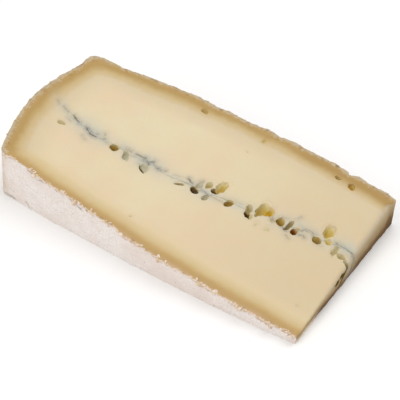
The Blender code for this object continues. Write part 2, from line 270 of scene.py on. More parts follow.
@dataclass(frozen=True)
class WedgeForm:
    """The wedge's driving sizes in millimetres, and the surfaces that follow from them."""

    wheel_radius: float = 185.0
    heel_edge: float = -2.0
    heel_bulge: float = 8.0
    heel_half_height: float = 32.5
    near_belly: Pair = (130.0, 40.4)
    far_belly: Pair = (95.0, 39.9)
    length: float = 146.0
    heel_thickness: float = 28.4
    tip_thickness: float = 10.1
    lean: float = 0.159
    corner: float = 3.0
    far_corner: float = 1.8
    corner_arc: float = 1.6  # length of a rounded corner's line, as a share of its size
    corner_cut: float = 0.8  # and how much of the heel's line it takes up
    undercut: float = 0.9
    rounding_near: float = 1.1
    rounding_far: float = 2.8
    tip_blend: float = 4.0
    proud: float = 1.0  # how far the far rind stands out past the tip's cut
    proud_band: Climb = Climb(33.0, 3.5)  # across
    spread: float = 2.7  # how far the far face has sagged out at its foot, at the tip
    spread_reach: float = 20.0
    spread_band: Climb = Climb(15.0, 22.0)
    seam_start: float = 5.0
    seam_dip: float = -3.2
    seam_climb: float = 8.0
    seam_climb_from: float = 60.0
    seam_heel_rise: float = 8.0
    seam_heel_reach: float = 11.0
    seam_ripple: float = 0.4
    seam_ripple_length: float = 17.0
    seam_lean: float = 0.33
    heel_rim_ratio: float = 1.7  # the rim under the rind is this much thicker at the heel
    far_rim_ratio: float = 1.25  # and at the far flat face, than at the near one
    rim_merge: float = 5.0  # over which two rims run into each other at a corner
    heel_turn_reach: float = 10.0  # how far along the heel's curve counts for the depth under it

    @property
    def middle_along(self) -> float:
        """Where the part's own origin lies along the wedge."""
        return (self.length + self.heel_edge - self.heel_bulge) / 2

    @property
    def slope(self) -> float:
        """How fast the wedge thins towards its tip."""
        return (self.heel_thickness - self.tip_thickness) / self.length

    def top_height(self, along: Array, across: Array) -> Array:
        """Height of the upper knife cut."""
        return self.heel_thickness - self.slope * along + self.lean * across

    def half_height(self, along: Array, side: Array) -> Array:
        """How far across the wheel's slightly domed flat face stands, on the side of that sign.

        Args:
            along: Where it is asked for.
            side: Below 0 for the near face.

        Returns:
            How far it lies from the wheel's middle plane, always above 0.
        """
        near, far = (
            (bulge - self.heel_half_height) * np.sin(math.pi / 2 * along / belly)
            for belly, bulge in (self.near_belly, self.far_belly)
        )
        return self.heel_half_height + np.where(np.asarray(side) < 0, near, far)

    def heel_line(self, across: Array) -> Array:
        """Where along the heel's rind stands on the floor."""
        return self.heel_edge - self.heel_bulge * (1 - (across / self.heel_half_height) ** 2)

    def seam_across(self, along: Array, height: Array) -> Array:
        """Where the middle of the ash runs.

        Args:
            along: Where it is asked for.
            height: And how far above the floor.

        Returns:
            Where it lies across.
        """
        reach = self.length - self.seam_climb_from
        climb = self.seam_climb * smoothstep((along - self.seam_climb_from) / reach)
        rise = self.seam_heel_rise * np.exp(-along / self.seam_heel_reach)
        ripple = self.seam_ripple * np.sin(2 * math.pi * along / self.seam_ripple_length)
        lean = self.seam_lean * along / self.length * (height - self.top_height(along, 0.0))
        return self.seam_dip + climb + rise + ripple + lean

    def turned_in(self, along: Array, height: Array) -> Array:
        """How far the wheel's curve carries the rind inwards at a height.

        Args:
            along: Where it is asked for.
            height: And how far above the floor.

        Returns:
            The way towards the tip, which fades out over the wedge's middle half.
        """
        radius = self.wheel_radius + self.heel_edge - self.heel_bulge - along
        turn = radius - np.sqrt(radius**2 - height**2)
        return turn * (1 - smoothstep(2 * along / self.length - 0.5))

    def tip_shift(self, across: Array, share: Array) -> Array:
        """How far the tip's cut lies back: it leans, with a round edge up to the firm rind.

        Args:
            across: Where it is asked for.
            share: Height, as a share of the wedge's.

        Returns:
            The way back from the wedge's full length.
        """
        side = smoothstep(0.5 + across / (2 * self.heel_half_height))
        radius = self.rounding_near + (self.rounding_far - self.rounding_near) * side
        below = (1 - share) * self.top_height(self.length, across)
        inside = np.maximum(radius - below, 0.0)
        rounding = radius - np.sqrt(np.maximum(radius**2 - inside**2, 0.0))
        firm = self.proud_band.at(across)
        return self.undercut * (1 - share) + rounding * (1 - firm) - self.proud * share * firm

    def sagged(self, along: Array, across: Array, share: Array) -> Array:
        """How far the soft paste has spread towards the far side at the tip's foot.

        Args:
            along: Where it is asked for.
            across: The same.
            share: Height, as a share of the wedge's.

        Returns:
            The way across, towards the far side.
        """
        beside = self.spread_band.at(across)
        tipward = smoothstep(1 - (self.length - along) / self.spread_reach)
        return self.spread * beside * tipward * (1 - share)

    def rind_line(self, step: float) -> Array:
        """Floor line of the rind, from the tip's near corner round the heel to its far corner.

        Args:
            step: Distance between points.

        Returns:
            One row of along and across for each point.
        """
        half = self.heel_half_height

        def flat_face(side: int, corner: float) -> Array:
            """The line of one flat face, from the tip to where the heel's corner begins.

            Args:
                side: -1 for the near face, 1 for the far one.
                corner: The corner's size.

            Returns:
                One row of along and across for each point.
            """
            start = self.heel_edge + corner
            along = np.linspace(self.length, start, round((self.length - start) / step) + 1)
            return np.stack([along, side * self.half_height(along, side)], 1)

        def rounded(before: Array, side: int, after: Array, size: float) -> Array:
            """Points of a rounded corner.

            Args:
                before: The last point before it.
                side: -1 for near, 1 for far.
                after: The first point past it.
                size: The corner's size.

            Returns:
                One row of along and across for each point.
            """
            at = np.array([self.heel_edge, side * half])
            turns = np.linspace(0, 1, round(self.corner_arc * size / step) + 1)[1:-1, None]
            return before * (1 - turns) ** 2 + at * 2 * turns * (1 - turns) + after * turns**2

        near, far = flat_face(-1, self.corner), flat_face(1, self.far_corner)[::-1]
        across = np.linspace(-half, half, round(2 * half / step) + 1)
        past_near = across > self.corner_cut * self.corner - half
        keep = past_near & (across < half - self.corner_cut * self.far_corner)
        heel = np.stack([self.heel_line(across), across], 1)[keep]
        near_corner = rounded(near[-1], -1, heel[0], self.corner)
        far_corner = rounded(heel[-1], 1, far[0], self.far_corner)
        return np.concatenate([near, near_corner, heel, far_corner, far])

    def tip_line(self, step: float) -> Array:
        """Floor line of the tip's cut, from its far corner to its near one, without the two.

        Args:
            step: Distance between points.

        Returns:
            One row of along and across for each point.
        """
        near, far = -self.half_height(self.length, -1), self.half_height(self.length, 1)
        across = np.linspace(far, near, round((far - near) / step) + 1)[1:-1]
        return np.stack([np.full_like(across, self.length), across], 1)

    def merged(self, first: Array, second: Array) -> Array:
        """The smaller of two depths, with a soft change from one to the other."""
        mix = np.clip(0.5 + (first - second) / self.rim_merge, 0.0, 1.0)
        return first + (second - first) * mix - self.rim_merge / 2 * mix * (1 - mix)

    def rind_depths(self, along: Array, across: Array, height: Array) -> tuple[Array, Array, Array]:
        """How deep a point lies under each of the three skins.

        Args:
            along: Where the points lie along the wedge.
            across: And across the wheel.
            height: And above the lower cut.

        Returns:
            The depths under the heel's rind, the near flat face and the far one.
        """
        turn = self.turned_in(np.minimum(along, self.heel_turn_reach), height)
        heel = along - self.heel_line(across) - turn
        return heel, self.half_height(along, -1) + across, self.half_height(along, 1) - across

    def worn(self, side: Side, place: Array) -> Array:
        """How far the rind's upper edge has worn in at each place of one side.

        Args:
            side: The stretch of rind.
            place: Across at the heel, along at the flat faces.

        Returns:
            The way in at each place.
        """
        total = np.zeros_like(place)
        for wear in EDGE_WEAR:
            if wear.side is side:
                total += wear.depth * np.exp(-(((place - wear.place) / wear.reach) ** 2))
        return total

    def rind_gap(
        self, along: Array, across: Array, height: Array, worn: bool = False
    ) -> tuple[Array, Array]:
        """How deep a point lies in the rim under the rind.

        Args:
            along: Where each point lies along the wedge.
            across: And across.
            height: And above the floor.
            worn: True to count from the worn edge and not from the line it had.

        Returns:
            The depth, scaled to the near face's thin rim, and 1 beside the near face or 0
            beside the heel and the far one.
        """
        heel, near, far = self.rind_depths(along, across, height)
        if worn:
            heel = heel - self.worn(Side.HEEL, across)
            near, far = near - self.worn(Side.NEAR, along), far - self.worn(Side.FAR, along)
        others = self.merged(heel / self.heel_rim_ratio, far / self.far_rim_ratio)
        beside_near = smoothstep(0.5 + (others - near) / self.rim_merge)
        return self.merged(near, others), beside_near


# ---------------------------------------------------------------- eyes and ash on the cut


class Lining(Enum):
    """What the inside of a gas hole looks like."""

    PALE = "D0C49C"
    YELLOW = "DECE95"
    AMBER = "DCC25E"
    HONEY = "CDB062"
    OLIVE = "C5AD68"
    BEIGE = "C9BC98"
    GREY = "CBC6B3"
    TAUPE = "A39469"
    BROWN = "886820"
    RUST = "A66E1C"


@dataclass(frozen=True)
class Eye:
    """A gas hole that the knife opened: its middle on the cut, its size, turn and lining."""

    along: float
    across: float
    length: float
    width: float
    depth: float
    turn: float = 0.0
    lining: Lining = Lining.OLIVE
    sunk: float = 0.25  # how far its middle lies below the cut, as a share of its half depth


SOFT = -0.5  # the share for an eye that the knife opened above its middle, so its edge is gentle


SEAM_EYES = (
    Eye(10.9, -5.3, 4.7, 2.5, 1.5, 0, Lining.PALE, SOFT),
    Eye(36.9, -3.8, 4.0, 3.7, 3.2, 0, Lining.OLIVE, 0.2),
    Eye(43.2, -4.6, 6.6, 3.7, 1.7, -65, Lining.GREY, SOFT),
    Eye(53.2, -5.7, 6.0, 4.6, 1.4, -40, Lining.GREY, SOFT),
    Eye(52.8, -6.9, 5.0, 1.5, 2.8, -35, Lining.TAUPE, 0.1),
    Eye(69.6, -4.4, 4.6, 1.7, 2.4, 25, Lining.BEIGE, 0.0),
    Eye(76.3, -3.5, 4.2, 3.4, 4.2, -25, Lining.BROWN, 0.1),
    Eye(76.8, -0.6, 5.0, 3.2, 1.3, 75, Lining.GREY, SOFT),
    Eye(80.2, 1.6, 5.0, 3.2, 1.9, 80, Lining.PALE, SOFT),
    Eye(82.0, -4.4, 4.1, 2.5, 1.8, 70, Lining.GREY, 0.0),
    Eye(85.1, 3.9, 7.2, 4.4, 2.9, 78, Lining.YELLOW, SOFT),
    Eye(83.7, 0.5, 3.8, 2.8, 4.2, 0, Lining.BROWN, 0.3),
    Eye(91.4, -1.4, 4.7, 3.3, 2.7, 65, Lining.OLIVE, 0.1),
    Eye(99.7, 1.0, 5.2, 3.3, 2.1, -75, Lining.BEIGE, SOFT),
    Eye(100.3, -1.9, 4.0, 2.5, 4.4, -65, Lining.BROWN, 0.2),
    Eye(102.1, -2.2, 3.6, 2.6, 1.3, -70, Lining.BEIGE, SOFT),
    Eye(104.4, 3.9, 8.0, 5.0, 3.1, 80, Lining.YELLOW, SOFT),
    Eye(107.1, 4.0, 5.6, 4.6, 3.2, 60, Lining.AMBER, -0.3),
    Eye(103.8, 0.0, 2.6, 1.6, 1.4, 75, Lining.BEIGE, 0.0),
    Eye(106.0, -4.3, 2.6, 1.8, 0.5, -80, Lining.PALE, SOFT),
    Eye(110.9, -3.9, 3.6, 2.4, 0.6, 80, Lining.PALE, SOFT),
    Eye(110.3, 1.1, 2.6, 2.0, 1.1, 0, Lining.BEIGE, SOFT),
    Eye(113.5, 2.5, 4.8, 3.5, 3.3, -55, Lining.OLIVE, 0.1),
    Eye(117.3, 3.0, 6.4, 2.2, 2.8, 82, Lining.BEIGE, 0.0),
    Eye(116.7, 0.6, 2.2, 1.2, 2.0, 80, Lining.OLIVE),
    Eye(120.4, 1.2, 3.4, 2.9, 3.6, -75, Lining.RUST, 0.3),
    Eye(121.0, 3.4, 3.0, 2.6, 0.7, 0, Lining.BEIGE, SOFT),
    Eye(129.8, 2.9, 4.3, 3.4, 2.9, -35, Lining.OLIVE, 0.1),
    Eye(132.2, 8.9, 7.6, 5.2, 2.6, -70, Lining.YELLOW, SOFT),
    Eye(134.0, 4.8, 3.6, 3.2, 1.8, 0, Lining.YELLOW, SOFT),
    Eye(138.3, 2.3, 6.8, 2.9, 1.5, -85, Lining.BEIGE, SOFT),
    Eye(141.8, 1.4, 5.2, 3.0, 1.5, -8, Lining.BEIGE, SOFT),
    Eye(144.9, -0.4, 3.6, 1.7, 2.0, -35, Lining.GREY, 0.0),
)
RIND_EYES = (
    Eye(57.7, 33.1, 3.4, 2.1, 1.3, -10),
    Eye(86.9, 33.6, 2.8, 2.1, 0.8, 80, Lining.OLIVE, SOFT),
    Eye(121.9, 34.1, 2.8, 1.6, 1.6),
    Eye(128.6, 33.2, 3.7, 2.8, 1.8, -30, Lining.HONEY),
)
PORES = (
    Eye(138.6, -27.8, 1.3, 1.0, 0.4, 0, Lining.BROWN, 0.0),
    Eye(62.2, -28.8, 1.3, 0.9, 0.6, 20, Lining.TAUPE, 0.0),
    Eye(84.0, 24.8, 1.4, 0.9, 0.5, -30, Lining.TAUPE, 0.0),
)
OPEN_EYES = SEAM_EYES + RIND_EYES + PORES


@dataclass(frozen=True)
class Stroke:
    """One dark line on a surface, such as a wisp of ash: its points, half width and darkness."""

    points: tuple[Pair, ...]
    half_width: float
    strength: float


ASH_STROKES = (
    Stroke(((2.6, 3.4), (3.6, 2.6), (4.6, 2.0)), 0.40, 0.32),
    Stroke(((6.8, 2.0), (7.6, 1.5), (10.2, 0.8)), 0.40, 0.45),
    Stroke(((10.2, 0.8), (11.8, 0.6), (13.3, 0.4)), 0.30, 0.28),
    Stroke(((13.3, 0.2), (15.0, -0.6), (17.3, -1.6)), 0.45, 0.90),
    Stroke(((11.4, -2.1), (12.6, -2.4), (13.9, -2.8)), 0.35, 0.38),
    Stroke(((17.3, -1.6), (19.0, -2.1), (21.0, -2.3)), 0.30, 0.30),
    Stroke(((21.2, -1.9), (22.6, -3.0), (24.2, -3.7), (26.0, -4.1), (27.4, -3.8)), 0.42, 1.0),
    Stroke(((22.2, -1.6), (24.0, -2.4), (25.4, -2.9)), 0.50, 0.45),
    Stroke(((25.0, -2.8), (26.4, -2.4), (27.8, -2.0)), 0.35, 0.45),
    Stroke(((29.6, -0.3), (30.2, -1.2)), 0.45, 0.42),
    Stroke(((29.7, -3.4), (31.4, -2.5)), 0.42, 0.55),
    Stroke(((31.2, -3.7), (33.0, -4.0), (34.6, -4.2)), 0.30, 0.30),
    Stroke(((22.4, -6.4), (24.2, -7.3)), 1.30, 0.26),
    Stroke(((38.5, -2.6), (40.0, -2.0)), 0.30, 0.25),
    Stroke(((41.4, -2.1), (42.8, -1.9), (44.4, -1.8)), 0.42, 0.60),
    Stroke(((46.8, -2.0), (49.5, -1.9), (51.2, -1.3)), 0.50, 0.75),
    Stroke(((50.6, -2.2), (53.0, -2.7), (54.9, -1.1)), 0.70, 0.62),
    Stroke(((53.2, -2.8), (53.5, -4.6)), 0.42, 0.90),
    Stroke(((54.8, -2.0), (56.5, -2.6), (58.0, -3.1), (59.5, -2.9), (61.6, -2.4)), 0.40, 0.55),
    Stroke(((57.5, -3.1), (58.6, -3.1)), 0.36, 0.95),
    Stroke(((51.6, -4.9), (50.3, -5.4)), 0.55, 0.38),
    Stroke(((65.5, -2.0), (69.0, -1.2), (71.5, -0.6)), 0.30, 0.22),
    Stroke(((71.6, -0.4), (72.6, -1.2), (73.8, -1.6)), 0.55, 0.80),
    Stroke(((77.0, 1.6), (76.6, 0.2), (76.2, -1.6)), 0.90, 0.45),
    Stroke(((78.8, -2.1), (80.6, -2.4), (82.9, -3.0)), 0.50, 0.48),
    Stroke(((84.0, -2.6), (87.0, -3.0), (89.8, -2.5)), 0.50, 0.36),
    Stroke(((88.0, -0.9), (90.0, -0.4)), 0.35, 0.24),
    Stroke(((93.5, 0.5), (96.2, 0.9)), 0.40, 0.22),
    Stroke(((109.4, 2.5), (110.2, 1.8), (111.1, 1.1)), 0.60, 0.45),
    Stroke(((113.4, 4.6), (115.4, 5.1)), 0.40, 0.28),
    Stroke(((115.4, 0.4), (116.6, -0.1), (117.7, -0.4)), 0.42, 0.75),
    Stroke(((118.8, 7.4), (119.4, 8.6)), 0.50, 0.38),
    Stroke(((118.5, -2.3), (120.3, -3.1)), 0.60, 0.36),
    Stroke(((121.8, 2.6), (123.3, 4.2), (125.5, 4.8), (127.5, 4.7)), 0.40, 0.52),
    Stroke(((122.8, 0.6), (124.4, 1.4), (125.2, 0.8)), 0.50, 0.62),
    Stroke(((130.0, 0.5), (133.0, 1.0)), 0.35, 0.22),
    Stroke(((136.8, 5.6), (140.5, 5.5), (143.5, 5.0), (145.9, 3.6)), 0.38, 0.55),
)


# Ash that the knife smeared down the tip's cut: across, and above the floor
TIP_STROKES = (
    Stroke(((4.8, 7.6), (3.8, 5.2), (2.8, 2.6), (2.0, 0.4)), 1.5, 0.36),
    Stroke(((-0.4, 8.8), (-1.4, 7.0)), 0.7, 0.34),
)
# Painted shade of the gaps where flaps of dry rind have lifted off the near face, and under its
# lifted foot: along, and how far below the upper edge
RIND_CRACK_SHADES = (
    Stroke(((14.6, 0.2), (16.8, 0.9), (19.4, 1.2), (23.0, 0.6)), 0.24, 0.75),
    Stroke(((29.6, 0.3), (31.2, 0.8), (33.4, 1.0)), 0.22, 0.55),
    Stroke(((37.0, 0.3), (39.4, 1.1), (43.0, 1.9)), 0.26, 0.80),
    Stroke(((47.4, 0.3), (49.6, 0.9)), 0.22, 0.50),
    Stroke(((80.2, 0.3), (82.6, 0.8)), 0.22, 0.50),
    Stroke(((101.0, 0.2), (103.2, 0.7)), 0.22, 0.45),
    Stroke(((12.3, 18.8), (13.6, 20.2)), 0.28, 0.60),
    Stroke(((-0.6, 22.6), (2.6, 21.9), (5.4, 21.6)), 0.30, 0.55),
)


def drawn(
    strokes: Iterable[Stroke], first: Array, second: Array, smear: float, reach: float
) -> Array:
    """How dark a set of strokes makes each place.

    Args:
        strokes: The lines.
        first: Each place's first coordinate, as the strokes count it.
        second: And its second.
        smear: Darkness of the dust beside a line, as a share of the line's own.
        reach: How far the dust spreads past the line.

    Returns:
        One value for each place.
    """
    total = np.zeros_like(first)
    for stroke in strokes:
        nearest = np.full(first.shape, np.inf)
        for (a0, c0), (a1, c1) in zip(stroke.points, stroke.points[1:]):
            run_a, run_c = a1 - a0, c1 - c0
            share = ((first - a0) * run_a + (second - c0) * run_c) / (run_a**2 + run_c**2)
            share = np.clip(share, 0.0, 1.0)
            gap = (first - a0 - share * run_a) ** 2 + (second - c0 - share * run_c) ** 2
            nearest = np.minimum(nearest, gap)
        core = np.exp(-nearest / stroke.half_width**2)
        dust = smear * np.exp(-nearest / (stroke.half_width + reach) ** 2)
        total = np.maximum(total, stroke.strength * np.maximum(core, dust))
    return total


@dataclass(frozen=True)
class HaloSpot:
    """A pale grey-green cloud beside the ash: its middle along, its reach and its strength."""

    along: float
    reach: float
    strength: float


HALO_SPOTS = (
    HaloSpot(8.0, 4.0, 0.55),
    HaloSpot(23.0, 5.6, 0.95),
    HaloSpot(34.0, 4.2, 0.70),
    HaloSpot(43.0, 4.6, 0.85),
    HaloSpot(54.0, 5.2, 0.95),
    HaloSpot(66.0, 3.6, 0.55),
    HaloSpot(79.0, 4.8, 0.90),
    HaloSpot(95.0, 4.0, 0.60),
    HaloSpot(101.0, 4.2, 0.65),
    HaloSpot(118.0, 5.2, 0.90),
    HaloSpot(131.0, 4.6, 0.80),
    HaloSpot(143.0, 4.8, 0.95),
)


@dataclass(frozen=True)
class AshMarks:
    """Where ash has stained the paste, worked out for any points of its surface."""

    form: WedgeForm
    smear: float = 0.40  # darkness of the dust beside a wisp, as a share of the wisp's own
    smear_reach: float = 1.0  # millimetres that the dust spreads past the wisp
    skin: Climb = Climb(0.6, 1.2)  # below the cut, how the layer's ash takes the wisps' place
    shake_along: Lumps = Lumps(0.30, 1.6)
    shake_across: Lumps = Lumps(0.26, 1.4, 31.0)
    clots: Lumps = Lumps(0.32, 1.2, 41.0)
    fine_clots: Lumps = Lumps(0.22, 0.55, 47.0)
    clot_range: Pair = (0.3, 1.4)
    patches: Lumps = Lumps(1.2, 3.5, 5.0)
    layer_strength: float = 0.75
    layer_width: float = 0.7
    tip_reach: float = 2.0  # millimetres before the tip's cut from which its own smears show
    rags: Lumps = Lumps(0.55, 5.0, 17.0)
    fine_rags: Lumps = Lumps(0.35, 1.7, 23.0)
    faint: float = 0.30  # strength of the halo between its clouds
    faint_width: float = 3.2
    faint_from: Climb = Climb(-2.0, 8.0)  # along
    cloud_stretch: Pair = (2.1, 0.85)  # a cloud's size along and across, by reach

    def stain(self, points: Array) -> Array:
        """Darkness of the ash at each point, 0 to 1.

        Args:
            points: One row of along, across and height for each point.

        Returns:
            One value for each point.
        """
        along, across, height = points.T
        flat = flat_points(along, across)
        shaken_along = along + self.shake_along.at(flat)
        shaken_across = across + self.shake_across.at(flat)
        clots = 1.0 + self.clots.at(flat) + self.fine_clots.at(flat)
        top = drawn(ASH_STROKES, shaken_along, shaken_across, self.smear, self.smear_reach)
        top *= np.clip(clots, *self.clot_range)
        below = self.form.top_height(along, across) - height
        gap = across - self.form.seam_across(along, height)
        patchy = smoothstep(0.5 + self.patches.at(points))
        layer = self.layer_strength * patchy * np.exp(-((gap / self.layer_width) ** 2))
        layer = layer * (along > self.form.seam_start)
        share = self.skin.at(below)
        on_tip = smoothstep(along - self.form.length + self.tip_reach)
        tip = drawn(TIP_STROKES, shaken_across, height, self.smear, self.smear_reach) * on_tip
        return np.clip(top * (1 - share) + np.maximum(layer, tip) * share, 0.0, 1.0)

    def halo(self, points: Array) -> Array:
        """Strength of the grey-green bloom beside the ash at each point, 0 to 1.

        Args:
            points: One row of along, across and height for each point.

        Returns:
            One value for each point.
        """
        along, across, height = points.T
        gap = np.abs(across - self.form.seam_across(along, height))
        ragged = 1.0 + self.rags.at(points) + self.fine_rags.at(points)
        total = self.faint * np.exp(-((gap / self.faint_width) ** 2)) * self.faint_from.at(along)
        longer, wider = self.cloud_stretch
        for spot in HALO_SPOTS:
            spread = ((along - spot.along) / (longer * spot.reach)) ** 2
            spread += (gap / (spot.reach * wider)) ** 2
            total = np.maximum(total, spot.strength * np.exp(-spread * ragged))
        return np.clip(total * ragged, 0.0, 1.0)


# ---------------------------------------------------------------- mesh making


def write_piece(name: str, verts: Array, faces: list, form: WedgeForm) -> Piece:
    """Makes an object from millimetre points, placed in the part's own frame.

    Args:
        name: The object's name.
        verts: One row of along, across and height for each vertex.
        faces: Vertex indices of each face.
        form: Gives the origin's place along the wedge.

    Returns:
        The new object, linked to the scene, with its faces pointing out.
    """
    mesh = bpy.data.meshes.new(name)
    placed = (verts - [form.middle_along, 0.0, 0.0]) * MM
    mesh.from_pydata(placed.tolist(), [], faces)
    shape = bmesh.new()
    shape.from_mesh(mesh)
    bmesh.ops.recalc_face_normals(shape, faces=shape.faces)
    shape.to_mesh(mesh)
    shape.free()
    piece = bpy.data.objects.new(name, mesh)
    bpy.context.scene.collection.objects.link(piece)
    return piece


def mesh_points(mesh: bpy.types.Mesh, form: WedgeForm) -> Array:
    """Reads a mesh's vertices back as along, across and height in millimetres.

    Args:
        mesh: The mesh.
        form: Gives the origin's place along the wedge.

    Returns:
        One row for each vertex.
    """
    flat = np.zeros(len(mesh.vertices) * 3)
    mesh.vertices.foreach_get("co", flat)
    return flat.reshape(-1, 3) / MM + [form.middle_along, 0.0, 0.0]


class Kind(Enum):
    """What a vertex can carry, under Blender's own name of the field that holds it."""

    FLOAT = "value"
    FLOAT_VECTOR = "vector"
    FLOAT_COLOR = "color"


def store(mesh: bpy.types.Mesh, name: str, values: Array, kind: Kind = Kind.FLOAT) -> None:
    """Stores a value on each vertex for the materials or the crumbs' layout to read.

    Args:
        mesh: The mesh.
        name: The attribute's name.
        values: One number, vector or linear colour for each vertex, a colour without its alpha.
        kind: Which of the three it is.
    """
    if kind is Kind.FLOAT_COLOR:
        values = np.concatenate([values, np.ones((len(values), 1))], 1)
    made = mesh.attributes.new(name, kind.name, "POINT")
    made.data.foreach_set(kind.value, np.asarray(values, np.float32).ravel())


def apply_modifiers(piece: Piece) -> None:
    """Replaces a piece's mesh by what its modifiers make of it, and removes them.

    Args:
        piece: The piece, which keeps its name.
    """
    bpy.context.view_layer.update()
    graph = bpy.context.evaluated_depsgraph_get()
    made = bpy.data.meshes.new_from_object(piece.evaluated_get(graph))
    piece.modifiers.clear()
    old, piece.data = piece.data, made
    bpy.data.meshes.remove(old)


def drop_flaps(piece: Piece, weld: float = 2e-4) -> None:
    """Removes what a cut leaves without any thickness.

    Two faces on the same three points are a flap that encloses nothing. Points that nearly
    coincide are made one first, so that each such pair shares its points.

    Args:
        piece: The piece that was cut.
        weld: Millimetres within which points are made one.
    """
    shape = bmesh.new()
    shape.from_mesh(piece.data)
    bmesh.ops.triangulate(shape, faces=shape.faces)
    bmesh.ops.remove_doubles(shape, verts=shape.verts, dist=weld * MM)
    bmesh.ops.dissolve_degenerate(shape, edges=shape.edges, dist=weld * MM)
    bmesh.ops.triangulate(shape, faces=shape.faces)
    shape.verts.index_update()
    sharing: dict[frozenset[int], list[bmesh.types.BMFace]] = {}
    for face in shape.faces:
        sharing.setdefault(frozenset(vert.index for vert in face.verts), []).append(face)
    flaps = [face for faces in sharing.values() if len(faces) > 1 for face in faces]
    bmesh.ops.delete(shape, geom=flaps, context="FACES")
    log.info("%s: %d faces without thickness removed", piece.name, len(flaps))
    shape.to_mesh(piece.data)
    shape.free()


def subtract(target: Piece, cutters: list[Piece]) -> None:
    """Cuts closed meshes out of the target for good, and deletes them.

    Args:
        target: The piece that is cut.
        cutters: Closed meshes, which are gone afterwards.
    """
    group = bpy.data.collections.new("cutters")
    bpy.context.scene.collection.children.link(group)
    for cutter in cutters:
        bpy.context.scene.collection.objects.unlink(cutter)
        group.objects.link(cutter)
    modifier = target.modifiers.new("cut", "BOOLEAN")
    modifier.operation = "DIFFERENCE"
    modifier.solver = "MANIFOLD"
    modifier.operand_type = "COLLECTION"
    modifier.collection = group
    apply_modifiers(target)
    drop_flaps(target)
    for cutter in list(group.objects):
        bpy.data.objects.remove(cutter)
    bpy.data.collections.remove(group)


# ---------------------------------------------------------------- eyes


